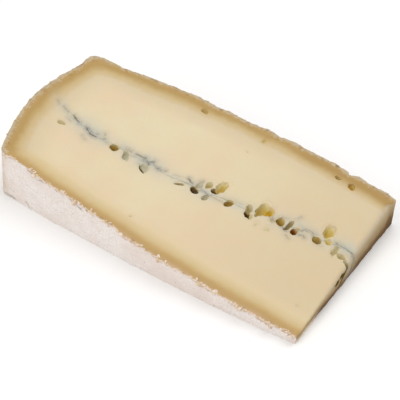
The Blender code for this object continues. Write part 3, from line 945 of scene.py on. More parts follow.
@dataclass(frozen=True)
class EyeCutters:
    """Closed lumps that carve the eyes, and the split and the two holes at the tip."""

    form: WedgeForm
    under_count: int = 9
    under_along: Pair = (30.0, 132.0)
    under_spread: float = 3.0
    under_length: Pair = (2.4, 5.4)
    under_width: Pair = (0.45, 0.9)  # as a share of the length
    under_depth: Pair = (1.0, 2.2)
    under_seed: int = 7
    split_size: Triple = (2.6, 0.75, 4.6)  # half sizes of the tip's crack
    split_middle: Pair = (-2.6, 6.4)  # its middle, across and up
    split_lean: float = 0.8  # how far it runs towards the near side, for each millimetre down
    tip_holes: tuple[tuple[float, float, float, float], ...] = (
        (-4.8, 6.9, 3.0, 1.5),  # across, height, width and depth
        (-8.4, 5.9, 3.4, 1.5),
    )
    hole_height: float = 0.35  # half the height of one of them, as a share of its width
    undercut: float = 0.55  # how far an eye leans under its near edge, for each millimetre down
    lobes: Lumps = Lumps(0.20, 0.8)
    knobs: Lumps = Lumps(0.13, 0.35, 5.0)
    grain: Lumps = Lumps(0.05, 0.16, 9.0)
    variety: float = 0.9  # how far the pattern moves on, for each millimetre between two lumps

    def tilt(self) -> Matrix:
        """The rotation that lays a lump's own XY plane into the upper cut."""
        normal = Vector((self.form.slope, -self.form.lean, 1.0)).normalized()
        return Vector((0, 0, 1)).rotation_difference(normal).to_matrix().to_4x4()

    def lump(self, name: str, size: tuple, place: Matrix, facets: int = 4) -> Piece:
        """An uneven rounded lump.

        Args:
            name: Its name.
            size: Half sizes in millimetres.
            place: Where it goes, in millimetres.
            facets: Subdivisions of the sphere it starts from.

        Returns:
            The lump's object.
        """
        shape = bmesh.new()
        bmesh.ops.create_icosphere(shape, subdivisions=facets, radius=1.0)
        unit = np.array([v.co[:] for v in shape.verts])
        faces = [[v.index for v in f.verts] for f in shape.faces]
        shape.free()
        turned = unit @ np.array(place.to_3x3()).T
        local = unit * self.unevenness(turned, np.array(place.translation))[:, None] * size
        carried = local @ np.array(place.to_3x3()).T + np.array(place.translation)
        return write_piece(name, carried, faces, self.form)

    def unevenness(self, directions: Array, centre: Array) -> Array:
        """How far a lump reaches in each direction, as a share of its plain size.

        Args:
            directions: Unit vectors.
            centre: The lump's middle, so that no two are alike.

        Returns:
            One share for each direction.
        """
        seeded = directions + centre * self.variety
        lobes = self.lobes.at(seeded) + self.knobs.at(seeded)
        return 1 + lobes + self.grain.at(seeded)

    def eye_place(self, eye: Eye, upper: bool) -> tuple[Matrix, Triple]:
        """Where an eye's lump goes, and its half sizes, so that its mouth is as wide as stated.

        Args:
            eye: The eye.
            upper: True for the upper cut.

        Returns:
            Its place and turn, and its half sizes.
        """
        height = self.form.top_height(eye.along, eye.across) if upper else 0.0
        tilt = self.tilt() if upper else Matrix.Identity(4)
        mouth = math.sqrt(1 - eye.sunk**2)
        half_depth = eye.depth / (1 + eye.sunk)
        size = (eye.length / 2 / mouth, eye.width / 2 / mouth, half_depth)
        down = -half_depth * eye.sunk if upper else half_depth * eye.sunk
        lean = Matrix.Shear("XY", 4, (0.0, self.undercut if upper else 0.0))
        place = Matrix.Translation(Vector((eye.along, eye.across, height))) @ tilt @ lean
        place = place @ Matrix.Translation(Vector((0, 0, down)))
        return place @ Matrix.Rotation(math.radians(eye.turn), 4, "Z"), size

    def split_place(self) -> tuple[Matrix, Triple]:
        """Where the lump of the tip's split goes, and its half sizes.

        Returns:
            Its place and lean, and its half sizes.
        """
        lean = Matrix.Rotation(-math.atan(self.split_lean), 4, "X")
        middle = Vector((self.form.length, *self.split_middle))
        return Matrix.Translation(middle) @ lean, self.split_size

    def hole_places(self) -> list[tuple[Matrix, Triple]]:
        """Where the lumps of the tip's holes go, and their half sizes.

        Returns:
            Each one's place and its half sizes.
        """
        return [
            (
                Matrix.Translation(Vector((self.form.length, across, height))),
                (depth, width / 2, width * self.hole_height),
            )
            for across, height, width, depth in self.tip_holes
        ]

    def under_eyes(self) -> list[Eye]:
        """Eyes of the lower cut, scattered along the ash like those above.

        Returns:
            The eyes, the same on each run.
        """
        dice = random.Random(self.under_seed)
        found = []
        for _ in range(self.under_count):
            along = dice.uniform(*self.under_along)
            stray = dice.uniform(-self.under_spread, self.under_spread)
            across = float(self.form.seam_across(along, 0.0)) + stray
            length = dice.uniform(*self.under_length)
            width = length * dice.uniform(*self.under_width)
            depth, turn = dice.uniform(*self.under_depth), dice.uniform(-90, 90)
            found.append(Eye(along, across, length, width, depth, turn))
        return found

    def build(self) -> list[Piece]:
        """Makes all the lumps.

        Returns:
            One object for each lump.
        """
        made = []
        for index, eye in enumerate(OPEN_EYES):
            place, size = self.eye_place(eye, True)
            made.append(self.lump(f"eye_{index}", size, place))
        for index, eye in enumerate(self.under_eyes()):
            place, size = self.eye_place(eye, False)
            made.append(self.lump(f"under_eye_{index}", size, place, 3))
        place, size = self.split_place()
        made.append(self.lump("tip_split", size, place))
        for index, (place, size) in enumerate(self.hole_places()):
            made.append(self.lump(f"tip_hole_{index}", size, place, 3))
        return made

    def nearest(self, points: Array) -> tuple[Array, Array, Array]:
        """Finds the eye that each point belongs to.

        Args:
            points: One row of along, across and height for each point.

        Returns:
            The distance from the eye's middle as a share of its size in that direction, and the
            eye's number in OPEN_EYES, or a higher one for the split and the holes at the tip. Last
            comes the way that the point lies in under the eye's mouth, from 0 at its edge to 1.
        """
        closest = np.full(len(points), np.inf)
        owner = np.zeros(len(points), int)
        within = np.ones(len(points))
        mouths = [math.sqrt(1 - eye.sunk**2) for eye in OPEN_EYES]
        places = [self.eye_place(eye, True) for eye in OPEN_EYES]
        for index, (place, size) in enumerate([*places, self.split_place(), *self.hole_places()]):
            inverse = np.array(place.inverted())
            local = points @ inverse[:3, :3].T + inverse[:3, 3]
            reach = np.linalg.norm(local / size, axis=1)
            flat = np.linalg.norm(local[:, :2] / size[:2], axis=1)
            inner = 1 - flat / mouths[index] if index < len(mouths) else np.ones(len(points))
            within = np.where(reach < closest, inner, within)
            owner = np.where(reach < closest, index, owner)
            closest = np.minimum(reach, closest)
        return closest, owner, within


@dataclass(frozen=True)
class CutSurface:
    """The upper knife cut: nearly flat, sunk along the ash, crumbled at the rind."""

    form: WedgeForm
    cutters: EyeCutters
    lip_depth: float = 0.34  # how far the paste has slumped into an eye at its rim
    lip_reach: float = 0.55
    waves: Lumps = Lumps(0.16, 19.0, 2.0)
    ripples: Lumps = Lumps(0.05, 6.0, 8.0)
    curds: Lumps = Lumps(0.30, 2.4, 13.0)  # lumps of curd along the ash
    curd_floor: float = -0.3  # the noise value where the gaps between them bottom out
    fine_curds: Lumps = Lumps(0.14, 1.0, 29.0)
    seam_sunk: float = 0.18
    seam_reach: float = 2.4
    chips: Lumps = Lumps(1.0, 1.9, 19.0)
    fine_chips: Lumps = Lumps(0.45, 0.8, 37.0)
    chip_share: float = 0.1  # raises the share of the edge that has chipped
    chip_depth: float = 0.5
    chip_reach: float = 1.5

    def relief(self, along: Array, across: Array) -> Array:
        """How far the cut lies off its plane at each place, in millimetres.

        Args:
            along: Where it is asked for.
            across: The same.

        Returns:
            Height above the plane, below 0 where it is sunk.
        """
        form = self.form
        flat = flat_points(along, across)
        height = form.top_height(along, across)
        gap = np.abs(across - form.seam_across(along, height))
        waves = self.waves.at(flat) + self.ripples.at(flat)
        curds = noise_field(flat, self.curds.width, self.curds.shift)
        lumps = self.curds.height * np.maximum(curds, self.curd_floor) - self.seam_sunk
        lumps += self.fine_curds.at(flat)
        sunk = np.exp(-((gap / self.seam_reach) ** 2)) * lumps
        rim = form.rind_gap(along, across, height, worn=True)[0]
        crumbled = np.clip(self.chips.at(flat) + self.chip_share, 0.0, 1.0)
        crumbled += self.fine_chips.at(flat)
        chips = -self.chip_depth * crumbled * smoothstep(1 - rim / self.chip_reach)
        return (waves + sunk) * smoothstep(rim) + chips + self.lips(along, across)

    def lips(self, along: Array, across: Array) -> Array:
        """How far the cut has slumped round the eyes.

        Args:
            along: Where it is asked for.
            across: The same.

        Returns:
            Height, 0 or below.
        """
        spots = np.stack([along, across, self.form.top_height(along, across)], 1)
        reach, owner, _ = self.cutters.nearest(spots)
        radii = [(eye.length + eye.width) / 4 for eye in OPEN_EYES]
        radii = np.array(radii + [self.lip_reach] * (1 + len(self.cutters.tip_holes)))
        beside = np.maximum(reach - 1, 0.0) * radii[owner] / self.lip_reach
        return -self.lip_depth * np.exp(-(beside**2))


@dataclass(frozen=True)
class PasteSkin:
    """The closed outer skin of the wedge, before the eyes and the ash are cut into it."""

    form: WedgeForm
    surface: CutSurface
    step: float = 0.5
    levels: int = 34
    level_power: float = 1.35  # above 1, levels lie closer together towards the upper edge
    swells: Lumps = Lumps(0.5, 26.0)
    bumps: Lumps = Lumps(0.35, 5.5, 9.0)
    pits: Lumps = Lumps(0.18, 2.1, 3.0)
    grain: Lumps = Lumps(0.12, 1.0, 7.0)
    crags: tuple[tuple[int, Lumps], ...] = (
        (6, Lumps(0.55, 3.2)),  # the higher the power, the nearer to the upper edge they stay
        (14, Lumps(0.32, 1.3, 11.0)),
        (30, Lumps(0.20, 0.7, 43.0)),
    )
    sunk_share: float = 0.6  # hollows are this much shallower than the noise alone makes them
    tip_swells: Lumps = Lumps(0.25, 5.5)
    tip_bumps: Lumps = Lumps(0.12, 2.0, 4.0)
    upper_steps: Triple = (0.36, 0.45, 0.95)  # by the ash, the rim, elsewhere
    lower_steps: Triple = (0.7, 1.0, 1.8)
    upper_seam_reach: float = 7.5
    lower_seam_reach: float = 5.0
    rim_reach: float = 3.0
    overlap: float = 1.5  # how far outside the rind points are still tried
    spacing_kept: float = 0.55  # clear distance from the outline, as a share of the finest step
    grid_across: float = 45.0
    grid_before: float = -12.0
    grid_past: float = 2.0

    def relief(self, points: Array, share: float) -> Array:
        """How far the rind stands out: swells, pits, grain, and crags at the knife edge.

        Args:
            points: One row of along, across and height for each point.
            share: Height, as a share of the wedge's.

        Returns:
            The way out at each point.
        """
        total = self.swells.at(points) + self.bumps.at(points)
        total += self.pits.at(points) + self.grain.at(points)
        if share > 0.5:
            for power, lumps in self.crags:
                height = share**power * lumps.height
                total += height * noise_field(points, lumps.width, lumps.shift)
        return np.where(total < 0, self.sunk_share * total, total)

    def ring(self, line: Array, normals: Array, share: float) -> Array:
        """The rind's points at one share of the height between the two cuts.

        Args:
            line: The rind's floor line.
            normals: The way out at its points.
            share: Height, as a share of the wedge's.

        Returns:
            One row of along, across and height for each point.
        """
        form = self.form
        along, across = line.T
        height = share * form.top_height(along, across)
        turned = along + form.turned_in(along, height)
        relief = self.relief(np.stack([turned, across, height], 1), share)
        sides = np.maximum(np.stack([-normals[:, 0], -normals[:, 1], normals[:, 1]]), 0.0) ** 2
        places = ((Side.HEEL, across), (Side.NEAR, along), (Side.FAR, along))
        worn = sum(part * form.worn(*place) for part, place in zip(sides, places))
        relief = relief - worn * share**2
        blend = smoothstep(1 - (form.length - along) / form.tip_blend)
        new_along = turned + normals[:, 0] * relief - form.tip_shift(across, share) * blend
        new_across = across + normals[:, 1] * relief + form.sagged(along, across, share)
        new_height = share * form.top_height(new_along, new_across)
        return np.stack([new_along, new_across, new_height], 1)

    def tip_ring(self, line: Array, share: float) -> Array:
        """The points of the tip's cut at one share of its height.

        Args:
            line: The tip's floor line.
            share: The share.

        Returns:
            One row of along, across and height for each point.
        """
        form = self.form
        along, across = line.T
        height = share * form.top_height(along, across)
        spots = np.stack([along, across, height], 1)
        swell = self.tip_swells.at(spots) + self.tip_bumps.at(spots)
        new_along = along - form.tip_shift(across, share) + swell
        new_across = across + form.sagged(along, across, share)
        new_height = share * form.top_height(new_along, new_across)
        return np.stack([new_along, new_across, new_height], 1)

    def inside_points(self, loop: Array, upper: bool) -> Array:
        """Points that fill one knife cut, close together near the ash and under the rind.

        Args:
            loop: The cut's outline, in order.
            upper: True for the upper cut.

        Returns:
            One row of along and across for each point.
        """
        form = self.form
        steps = self.upper_steps if upper else self.lower_steps
        seam_reach = self.upper_seam_reach if upper else self.lower_seam_reach

        def lattice(spacing: float) -> Array:
            """An even triangular lattice over the whole cut.

            Args:
                spacing: Distance between points.

            Returns:
                One row of along and across for each point.
            """
            rows = np.arange(-self.grid_across, self.grid_across, spacing * math.sqrt(3) / 2)
            columns = np.arange(self.grid_before, form.length + self.grid_past, spacing)
            grid_along, grid_across = np.meshgrid(columns, rows)
            grid_along[1::2] += spacing / 2
            return np.stack([grid_along.ravel(), grid_across.ravel()], 1)

        kept = []
        for zone, spacing in enumerate(steps):
            spots = lattice(spacing)
            along, across = spots.T
            height = form.top_height(along, across) if upper else 0 * along
            seam = np.abs(across - form.seam_across(along, height)) < seam_reach
            tip = form.length - along - form.tip_shift(across, 1.0 if upper else 0.0)
            gap = np.min([*form.rind_depths(along, across, height), tip], axis=0)
            rim = gap < self.rim_reach
            chosen = (seam, rim & ~seam, ~rim & ~seam)[zone]
            kept.append(spots[chosen & (gap > -self.overlap)])
        spots = np.concatenate(kept)
        return spots[self.clear_of(loop, spots, self.spacing_kept * steps[0])]

    def clear_of(self, loop: Array, spots: Array, distance: float) -> Array:
        """Which spots lie inside the loop, at least a distance from it.

        Args:
            loop: The outline, in order.
            spots: The places.
            distance: How far they have to be from its points.

        Returns:
            True or False for each spot.
        """
        start, end = loop[:, :2], np.roll(loop[:, :2], -1, 0)
        inside = np.zeros(len(spots), bool)
        clear = np.ones(len(spots), bool)
        for first, second in zip(start, end):
            spans = (first[1] > spots[:, 1]) != (second[1] > spots[:, 1])
            rise = second[1] - first[1] or 1e-12
            crossing = first[0] + (spots[:, 1] - first[1]) / rise * (second[0] - first[0])
            inside ^= spans & (spots[:, 0] < crossing)
            clear &= ((spots - first) ** 2).sum(1) > distance**2
        return inside & clear

    def lid(self, loop: Array, upper: bool) -> tuple[Array, list]:
        """Fills one knife cut.

        Args:
            loop: The cut's outline, in order.
            upper: True for the upper cut.

        Returns:
            The points inside the outline, and faces that count the outline's points first.
        """
        spots = self.inside_points(loop, upper)
        flat = [Vector(row) for row in np.concatenate([loop[:, :2], spots]).tolist()]
        border = [(i, (i + 1) % len(loop)) for i in range(len(loop))]
        found = delaunay_2d_cdt(flat, border, [], 1, 1e-7, True)
        index = [group[0] for group in found[3]]
        faces = [[index[corner] for corner in face] for face in found[2]]
        centres = np.array([np.mean([flat[i] for i in face], 0) for face in faces])
        inside = self.clear_of(loop, centres, 0.0)
        faces = [face for face, kept in zip(faces, inside) if kept]
        along, across = spots.T
        height = np.zeros_like(along)
        if upper:
            height = self.form.top_height(along, across) + self.surface.relief(along, across)
        return np.stack([along, across, height], 1), faces

    def rim(self) -> tuple[Array, Array]:
        """The upper knife edge of the rind, and the way out at each of its points.

        Returns:
            One row of each for every point of the edge.
        """
        rind = self.form.rind_line(self.step)
        run = np.gradient(rind, axis=0)
        normals = np.stack([-run[:, 1], run[:, 0]], 1)
        normals /= np.linalg.norm(normals, axis=1)[:, None]
        return self.ring(rind, normals, 1.0), normals

    def build(self) -> Piece:
        """Makes the closed skin, with slot 0 for the paste and slot 1 for the rind.

        Returns:
            The skin's object.
        """
        rind = self.form.rind_line(self.step)
        tip = self.form.tip_line(self.step)
        normals = self.rim()[1]
        shares = 1 - (1 - np.linspace(0, 1, self.levels)) ** self.level_power
        rings = [
            np.concatenate([self.ring(rind, normals, s), self.tip_ring(tip, s)]) for s in shares
        ]
        count = len(rings[0])
        around = np.arange(count)
        after = (around + 1) % count
        faces = []
        for level in range(len(rings) - 1):
            low, high = level * count, (level + 1) * count
            faces += np.stack([low + after, low + around, high + around, high + after], 1).tolist()
        walls = len(faces)
        verts = np.concatenate(rings)
        top_start = (len(rings) - 1) * count
        for loop, start, upper in ((rings[-1], top_start, True), (rings[0], 0, False)):
            inner, lid_faces = self.lid(loop, upper)
            offset = len(verts)
            for face in lid_faces:
                faces.append([start + i if i < count else offset + i - count for i in face])
            verts = np.concatenate([verts, inner])
        piece = write_piece("paste_wedge", verts, faces, self.form)
        slots = np.zeros(len(faces), np.int32)
        column = np.tile(around, len(rings) - 1)
        slots[:walls] = column < len(rind) - 1
        for holder in ("paste", "rind"):
            piece.data.materials.append(bpy.data.materials.new(f"{holder}_holder"))
        piece.data.polygons.foreach_set("material_index", slots)
        return piece


@dataclass(frozen=True)
class AshPlate:
    """The ash layer: a thin wavy plate through the paste, thicker where more ash fell."""

    form: WedgeForm
    marks: AshMarks
    surface: CutSurface
    gap: float = 0.004  # air between the plate and its slot
    thinnest: float = 0.05  # half of the thickness where the curds have knit over the ash
    thickest: float = 0.30
    rows: int = 14
    step: float = 0.5
    slot_over: float = 1.0  # how far the slot stands out past the two knife cuts
    slot_past: float = 3.0  # and past the tip

    def half_thickness(self, points: Array) -> Array:
        """Half of the plate's thickness at each point."""
        return self.thinnest + (self.thickest - self.thinnest) * self.marks.stain(points)

    def build(self, name: str, grown: bool) -> Piece:
        """Makes the plate, or a slightly larger one that cuts its slot.

        Args:
            name: The object's name.
            grown: True for the slot.

        Returns:
            The plate's object.
        """
        form = self.form
        start, end = form.seam_start, form.length - form.undercut - form.rounding_near
        along = np.linspace(start, end, round((end - start) / self.step) + 1)
        extra, over = (self.gap, self.slot_over) if grown else (0.0, 0.0)
        if grown:
            past = form.length + self.slot_past
            along = np.concatenate([[start - extra], along[1:], [past]])
        top = form.top_height(along, form.seam_across(along, form.top_height(along, 0.0)))
        top = top + self.surface.relief(along, form.seam_across(along, top))
        right, left = [], []
        for row in range(self.rows + 1):
            height = top * row / self.rows
            middle = np.stack([along, form.seam_across(along, height), height], 1)
            half = self.half_thickness(middle) + extra
            middle[:, 2] += over if row == self.rows else -over if row == 0 else 0.0
            right.append(middle + np.stack([0 * half, half, 0 * half], 1))
            left.append(middle - np.stack([0 * half, half, 0 * half], 1))
        loops = right + left[::-1]
        count = len(along)
        faces = []
        for strip in range(len(loops)):
            low, high = strip * count, (strip + 1) % len(loops) * count
            faces += [[low + i, low + i + 1, high + i + 1, high + i] for i in range(count - 1)]
        for column in (0, count - 1):
            for row in range(self.rows):
                opposite = len(loops) - 1 - row
                ends = (row, row + 1, opposite - 1, opposite)
                faces.append([loop * count + column for loop in ends])
        return write_piece(name, np.concatenate(loops), faces, form)


@dataclass(frozen=True)
class RimCrumbs:
    """Crumbs of dry rind along the upper knife edge, laid out by a geometry tree."""

    form: WedgeForm
    name: str
    pitch: float  # millimetres between crumbs along the edge, before some are left out
    smallest: float
    largest: float
    inward: float  # how far they lie in over the cut
    outward: float
    drop: float  # and how far down the rind
    facets: int
    seed: int
    rarity: float = 2.5  # above 1, most crumbs are small
    flattest: Triple = (0.35, 0.35, 0.13)
    roundest: Triple = (0.66, 0.56, 0.25)
    most_turned: Triple = (0.9, 0.9, 6.28)
    bumps: float = 0.7  # millimetres between the bumps on a crumb

    def edge(self, rim: Array, normals: Array, crowd: Array) -> Piece:
        """The knife edge as a chain, with the way out, the crowding and the bloom on it.

        Args:
            rim: The edge's points.
            normals: The way out at each.
            crowd: The share of crumbs kept at each.

        Returns:
            The chain's object.
        """
        chain = write_piece(self.name, rim, [], self.form)
        mesh = chain.data
        mesh.edges.add(len(rim) - 1)
        links = np.stack([np.arange(len(rim) - 1), np.arange(1, len(rim))], 1)
        mesh.edges.foreach_set("vertices", links.ravel())
        outward = np.concatenate([normals, np.zeros((len(rim), 1))], 1)
        store(mesh, "outward", outward, Kind.FLOAT_VECTOR)
        store(mesh, "crowd", crowd)
        store(mesh, "bloom_share", bloom_share(rim))
        return chain

    def tree(self) -> bpy.types.NodeTree:
        """The geometry tree: points along the edge, thrown about, and a lump on each.

        Returns:
            The tree, whose inputs have names.
        """
        tree = bpy.data.node_groups.new(f"{self.name}_layout", "GeometryNodeTree")
        node = partial(add_node, tree)
        lengths = ("Pitch", "Smallest", "Largest", "Inward", "Outward", "Drop")
        sockets = [("Edge", "Geometry"), *((name, "Float") for name in lengths)]
        sockets += [("Seed", "Int"), ("Facets", "Int"), ("Finish", "Material")]
        for name, kind in sockets:
            tree.interface.new_socket(name, in_out="INPUT", socket_type=f"NodeSocket{kind}")
        tree.interface.new_socket("Crumbs", in_out="OUTPUT", socket_type="NodeSocketGeometry")
        given = node("NodeGroupInput").node.outputs
        curve = node("GeometryNodeMeshToCurve", {"Mesh": given["Edge"]})
        spacing = {"Curve": curve, "Length": given["Pitch"]}
        spaced = node("GeometryNodeResampleCurve", spacing, mode="LENGTH")
        spots = node("GeometryNodeCurveToPoints", {"Curve": spaced}, mode="EVALUATED")

        seeds = [
            node("ShaderNodeMath", {0: given["Seed"], 1: float(step)})
            for step in range(1, 6)
        ]
        crowd = node("GeometryNodeInputNamedAttribute", {"Name": "crowd"})
        draw = node("FunctionNodeRandomValue", {2: 0.0, 3: 1.0, "Seed": given["Seed"]}, 1)
        chosen = node("FunctionNodeCompare", {0: draw, 1: crowd}, operation="LESS_THAN")

        way_out = node(
            "GeometryNodeInputNamedAttribute", {"Name": "outward"}, data_type="FLOAT_VECTOR"
        )
        back = node("ShaderNodeMath", {0: given["Inward"], 1: -1.0}, operation="MULTIPLY")
        sideways = node(
            "FunctionNodeRandomValue", {2: back, 3: given["Outward"], "Seed": seeds[0]}, 1
        )
        moved_out = node("ShaderNodeVectorMath", {0: way_out, "Scale": sideways}, operation="SCALE")
        low = node("ShaderNodeMath", {0: given["Drop"], 1: -1.0}, operation="MULTIPLY")
        down = node("FunctionNodeRandomValue", {2: low, 3: 0.0, "Seed": seeds[1]}, 1)
        slope_down = node("ShaderNodeCombineXYZ", {"Z": down})
        offset = node("ShaderNodeVectorMath", {0: moved_out, 1: slope_down})
        thrown = node("GeometryNodeSetPosition", {"Geometry": spots, "Offset": offset})

        luck = node("FunctionNodeRandomValue", {2: 0.0, 3: 1.0, "Seed": seeds[2]}, 1)
        rare = node("ShaderNodeMath", {0: luck, 1: self.rarity}, operation="POWER")
        size = node("ShaderNodeMapRange", {0: rare, 3: given["Smallest"], 4: given["Largest"]})
        shape = {0: self.flattest, 1: self.roundest, "Seed": seeds[3]}
        squash = node("FunctionNodeRandomValue", shape, data_type="FLOAT_VECTOR")
        sized = {0: squash, "Scale": size}
        scale = node("ShaderNodeVectorMath", sized, operation="SCALE")
        turns = {0: (0.0, 0.0, 0.0), 1: self.most_turned, "Seed": seeds[4]}
        turn = node("FunctionNodeRandomValue", turns, data_type="FLOAT_VECTOR")
        lump = node("GeometryNodeMeshIcoSphere", {"Radius": 1.0, "Subdivisions": given["Facets"]})
        placing = {"Points": thrown, "Selection": chosen, "Instance": lump, "Rotation": turn}
        placed = node("GeometryNodeInstanceOnPoints", {**placing, "Scale": scale})
        real = node("GeometryNodeRealizeInstances", {"Geometry": placed})

        place = node("GeometryNodeInputPosition")
        grain = {"Vector": place, "Scale": per_mm(self.bumps), "Detail": 1.0}
        rough = node("ShaderNodeTexNoise", grain, "Color")
        centred = node("ShaderNodeVectorMath", {0: rough, 1: (-0.5, -0.5, -0.5)})
        reach = {0: centred, "Scale": given["Smallest"]}
        push = node("ShaderNodeVectorMath", reach, operation="SCALE")
        bent = node("GeometryNodeSetPosition", {"Geometry": real, "Offset": push})
        smooth = node("GeometryNodeSetShadeSmooth", {"Geometry": bent})
        finish = {"Geometry": smooth, "Material": given["Finish"]}
        dressed = node("GeometryNodeSetMaterial", finish)
        node("NodeGroupOutput", {"Crumbs": dressed})
        return tree

    def build(self, rim: Array, normals: Array, crowd: Array, finish: bpy.types.Material) -> Piece:
        """Makes the crumbs.

        Args:
            rim: The knife edge's points.
            normals: The way out at each of them.
            crowd: The share of crumbs that is kept at each of them.
            finish: The crumbs' material.

        Returns:
            One plain mesh object.
        """
        crumbs = self.edge(rim, normals, crowd)
        modifier = crumbs.modifiers.new("layout", "NODES")
        modifier.node_group = self.tree()
        sizes = {
            "Pitch": self.pitch * MM,
            "Smallest": self.smallest * MM,
            "Largest": self.largest * MM,
            "Inward": self.inward * MM,
            "Outward": self.outward * MM,
            "Drop": self.drop * MM,
            "Seed": self.seed,
            "Facets": self.facets,
            "Finish": finish,
        }
        for item in modifier.node_group.interface.items_tree:
            if item.name in sizes:
                modifier[item.identifier] = sizes[item.name]
        apply_modifiers(crumbs)
        return crumbs


NEAR_BLOOM = Climb(20.0, 12.0)  # across, towards the near side
HEEL_BLOOM = Climb(-3.0, 6.0)  # along


def bloom_share(points: Array) -> Array:
    """How much white bloom the rind carries at each point: all on the near face, else little.

    Args:
        points: One row of along, across and height for each point.

    Returns:
        One value for each point.
    """
    return NEAR_BLOOM.at(-points[:, 1]) * HEEL_BLOOM.at(points[:, 0])


# ---------------------------------------------------------------- finishes


@dataclass(frozen=True)
class PasteFinish:
    """Pressed cow's milk curd, cut with a knife: moist, smooth and faintly translucent.

    The rim under the rind has dried darker, the ash is ringed by a pale grey-green bloom, and
    the old cut at the tip has dried to a brown skin. Painted shade darkens that skin towards the
    floor, the paste towards the tip, the eyes towards their bottoms and the pockets at the edge.
    """

    ivory: str = "E1D3B0"
    ivory_warm: str = "E1CCAB"
    # Painted shade: the paste is made darker and yellower towards the tip, as if less light fell
    # there
    ivory_tip_shade: str = "D3C09A"
    near_rim: tuple[tuple[float, str], ...] = (
        (0.0, "C8A982"),
        (1.0, "BF9F6E"),
        (2.0, "BD9D67"),
        (3.0, "C2A26C"),
        (4.0, "CBB07D"),
        (5.0, "D2BA8B"),
        (6.0, "D6BF93"),
        (7.5, "D9C59B"),
        (9.0, "DECAA4"),
    )
    far_rim: tuple[tuple[float, str], ...] = (
        (0.0, "BDAC8D"),
        (0.6, "B79D70"),
        (1.2, "B99A66"),
        (1.9, "B9995F"),
        (2.6, "B7965D"),
        (3.2, "B99B63"),
        (4.0, "C2A672"),
        (4.8, "CAB283"),
        (6.0, "D0BA91"),
        (7.2, "D7C5A3"),
    )
    rim_span: float = 10.0
    near_crust: str = "E4D2C2"
    far_crust: str = "C2B194"
    far_aged: str = "A27E3E"
    # Painted shade in the pockets under the torn crust at the edge
    pocket_shade: str = "A5804F"
    halo: str = "C6C4B5"
    ash: str = "45474E"
    # The old cut's dried brown skin with painted shade: lighter at the crest, darker towards the
    # floor
    tip_dried_and_shaded: tuple[tuple[float, str], ...] = (
        (0.0, "D6C8AF"),
        (0.05, "D2C2A8"),
        (0.2, "C4AF8B"),
        (0.4, "B49D74"),
        (0.6, "A68C69"),
        (0.8, "80623A"),
        (1.0, "6F5030"),
    )
    tip_fresh: str = "DFC8A5"
    roughness: float = 0.46
    tip_roughness: float = 0.85
    shine: float = 0.22  # specular level, which fades out where an eye shades itself
    ior: float = 1.45

    def build(self) -> bpy.types.Material:
        """Makes the material, which reads the depths and shares stored on the paste.

        Returns:
            The material.
        """
        material, tree, shader = new_material("knife_cut_curd")
        node = partial(add_node, tree)
        place = node("ShaderNodeTexCoord", out="Object")
        soft = {"Vector": place, "Scale": per_mm(14.0), "Detail": 3.0}
        mottle = node("ShaderNodeTexNoise", soft)
        fine = node("ShaderNodeTexNoise", {"Vector": place, "Scale": per_mm(2.4), "Detail": 4.0})
        stored = {
            name: node("ShaderNodeAttribute", out="Fac", attribute_name=name)
            for name in (
                "rind_gap",
                "edge_gap",
                "beside_near",
                "ash_halo",
                "ash_stain",
                "eye_share",
                "tip_share",
                "tip_depth",
                "tip_fresh",
                "toward_tip",
                "rim_aged",
            )
        }

        # The rim follows the rind unevenly, as the dryness crept in
        far_off = {0: mottle, 1: 2.4, 2: -1.2}
        crept = node("ShaderNodeMath", far_off, operation="MULTIPLY_ADD")
        near_off = {0: fine, 1: 1.0, 2: crept}
        wander = node("ShaderNodeMath", near_off, operation="MULTIPLY_ADD")
        depth = node("ShaderNodeMath", {0: stored["rind_gap"], 1: wander})
        depth = node("ShaderNodeMath", {0: depth, 1: 0.5}, operation="SUBTRACT")
        place_in_rim = node("ShaderNodeMath", {0: depth, 1: self.rim_span}, operation="DIVIDE")
        near_rim = node("ShaderNodeValToRGB", {"Fac": place_in_rim})
        fill_ramp(near_rim, self.near_rim, self.rim_span)
        far_rim = node("ShaderNodeValToRGB", {"Fac": place_in_rim})
        fill_ramp(far_rim, self.far_rim, self.rim_span)
        sides = {0: stored["beside_near"], UNDER: far_rim, OVER: near_rim}
        rim = node("ShaderNodeMix", sides, MIXED, data_type="RGBA")
        layers = {0: stored["rim_aged"], UNDER: rim, OVER: linear(self.far_aged)}
        rim = node("ShaderNodeMix", layers, MIXED, data_type="RGBA")
        broad = {"Vector": place, "Scale": per_mm(24.0), "Detail": 2.0}
        clouds = node("ShaderNodeTexNoise", broad)
        warm = node("ShaderNodeMapRange", {0: clouds, 1: 0.36, 2: 0.64})
        tints = {0: warm, UNDER: linear(self.ivory), OVER: linear(self.ivory_warm)}
        base = node("ShaderNodeMix", tints, MIXED, data_type="RGBA")
        # Painted shade: darker towards the tip, as if less light fell there
        layers = {0: stored["toward_tip"], UNDER: base, OVER: linear(self.ivory_tip_shade)}
        base = node("ShaderNodeMix", layers, MIXED, data_type="RGBA")
        inward = node("ShaderNodeMapRange", {0: depth, 1: 7.0, 2: 12.5})

        # The outermost millimetre is crumbled crust, so its inner border is ragged
        crumbs = {"Vector": place, "Scale": per_mm(1.3), "Detail": 3.0}
        ragged = node("ShaderNodeTexNoise", crumbs)
        bite = {0: ragged, 1: -4.2, 2: stored["edge_gap"]}
        border = node("ShaderNodeMath", bite, operation="MULTIPLY_ADD")
        crusted = node("ShaderNodeMapRange", {0: border, 1: -0.9, 2: -1.5, 4: 0.85})
        far_crust, near_crust = linear(self.far_crust), linear(self.near_crust)
        crusts = {0: stored["beside_near"], UNDER: far_crust, OVER: near_crust}
        crust = node("ShaderNodeMix", crusts, MIXED, data_type="RGBA")
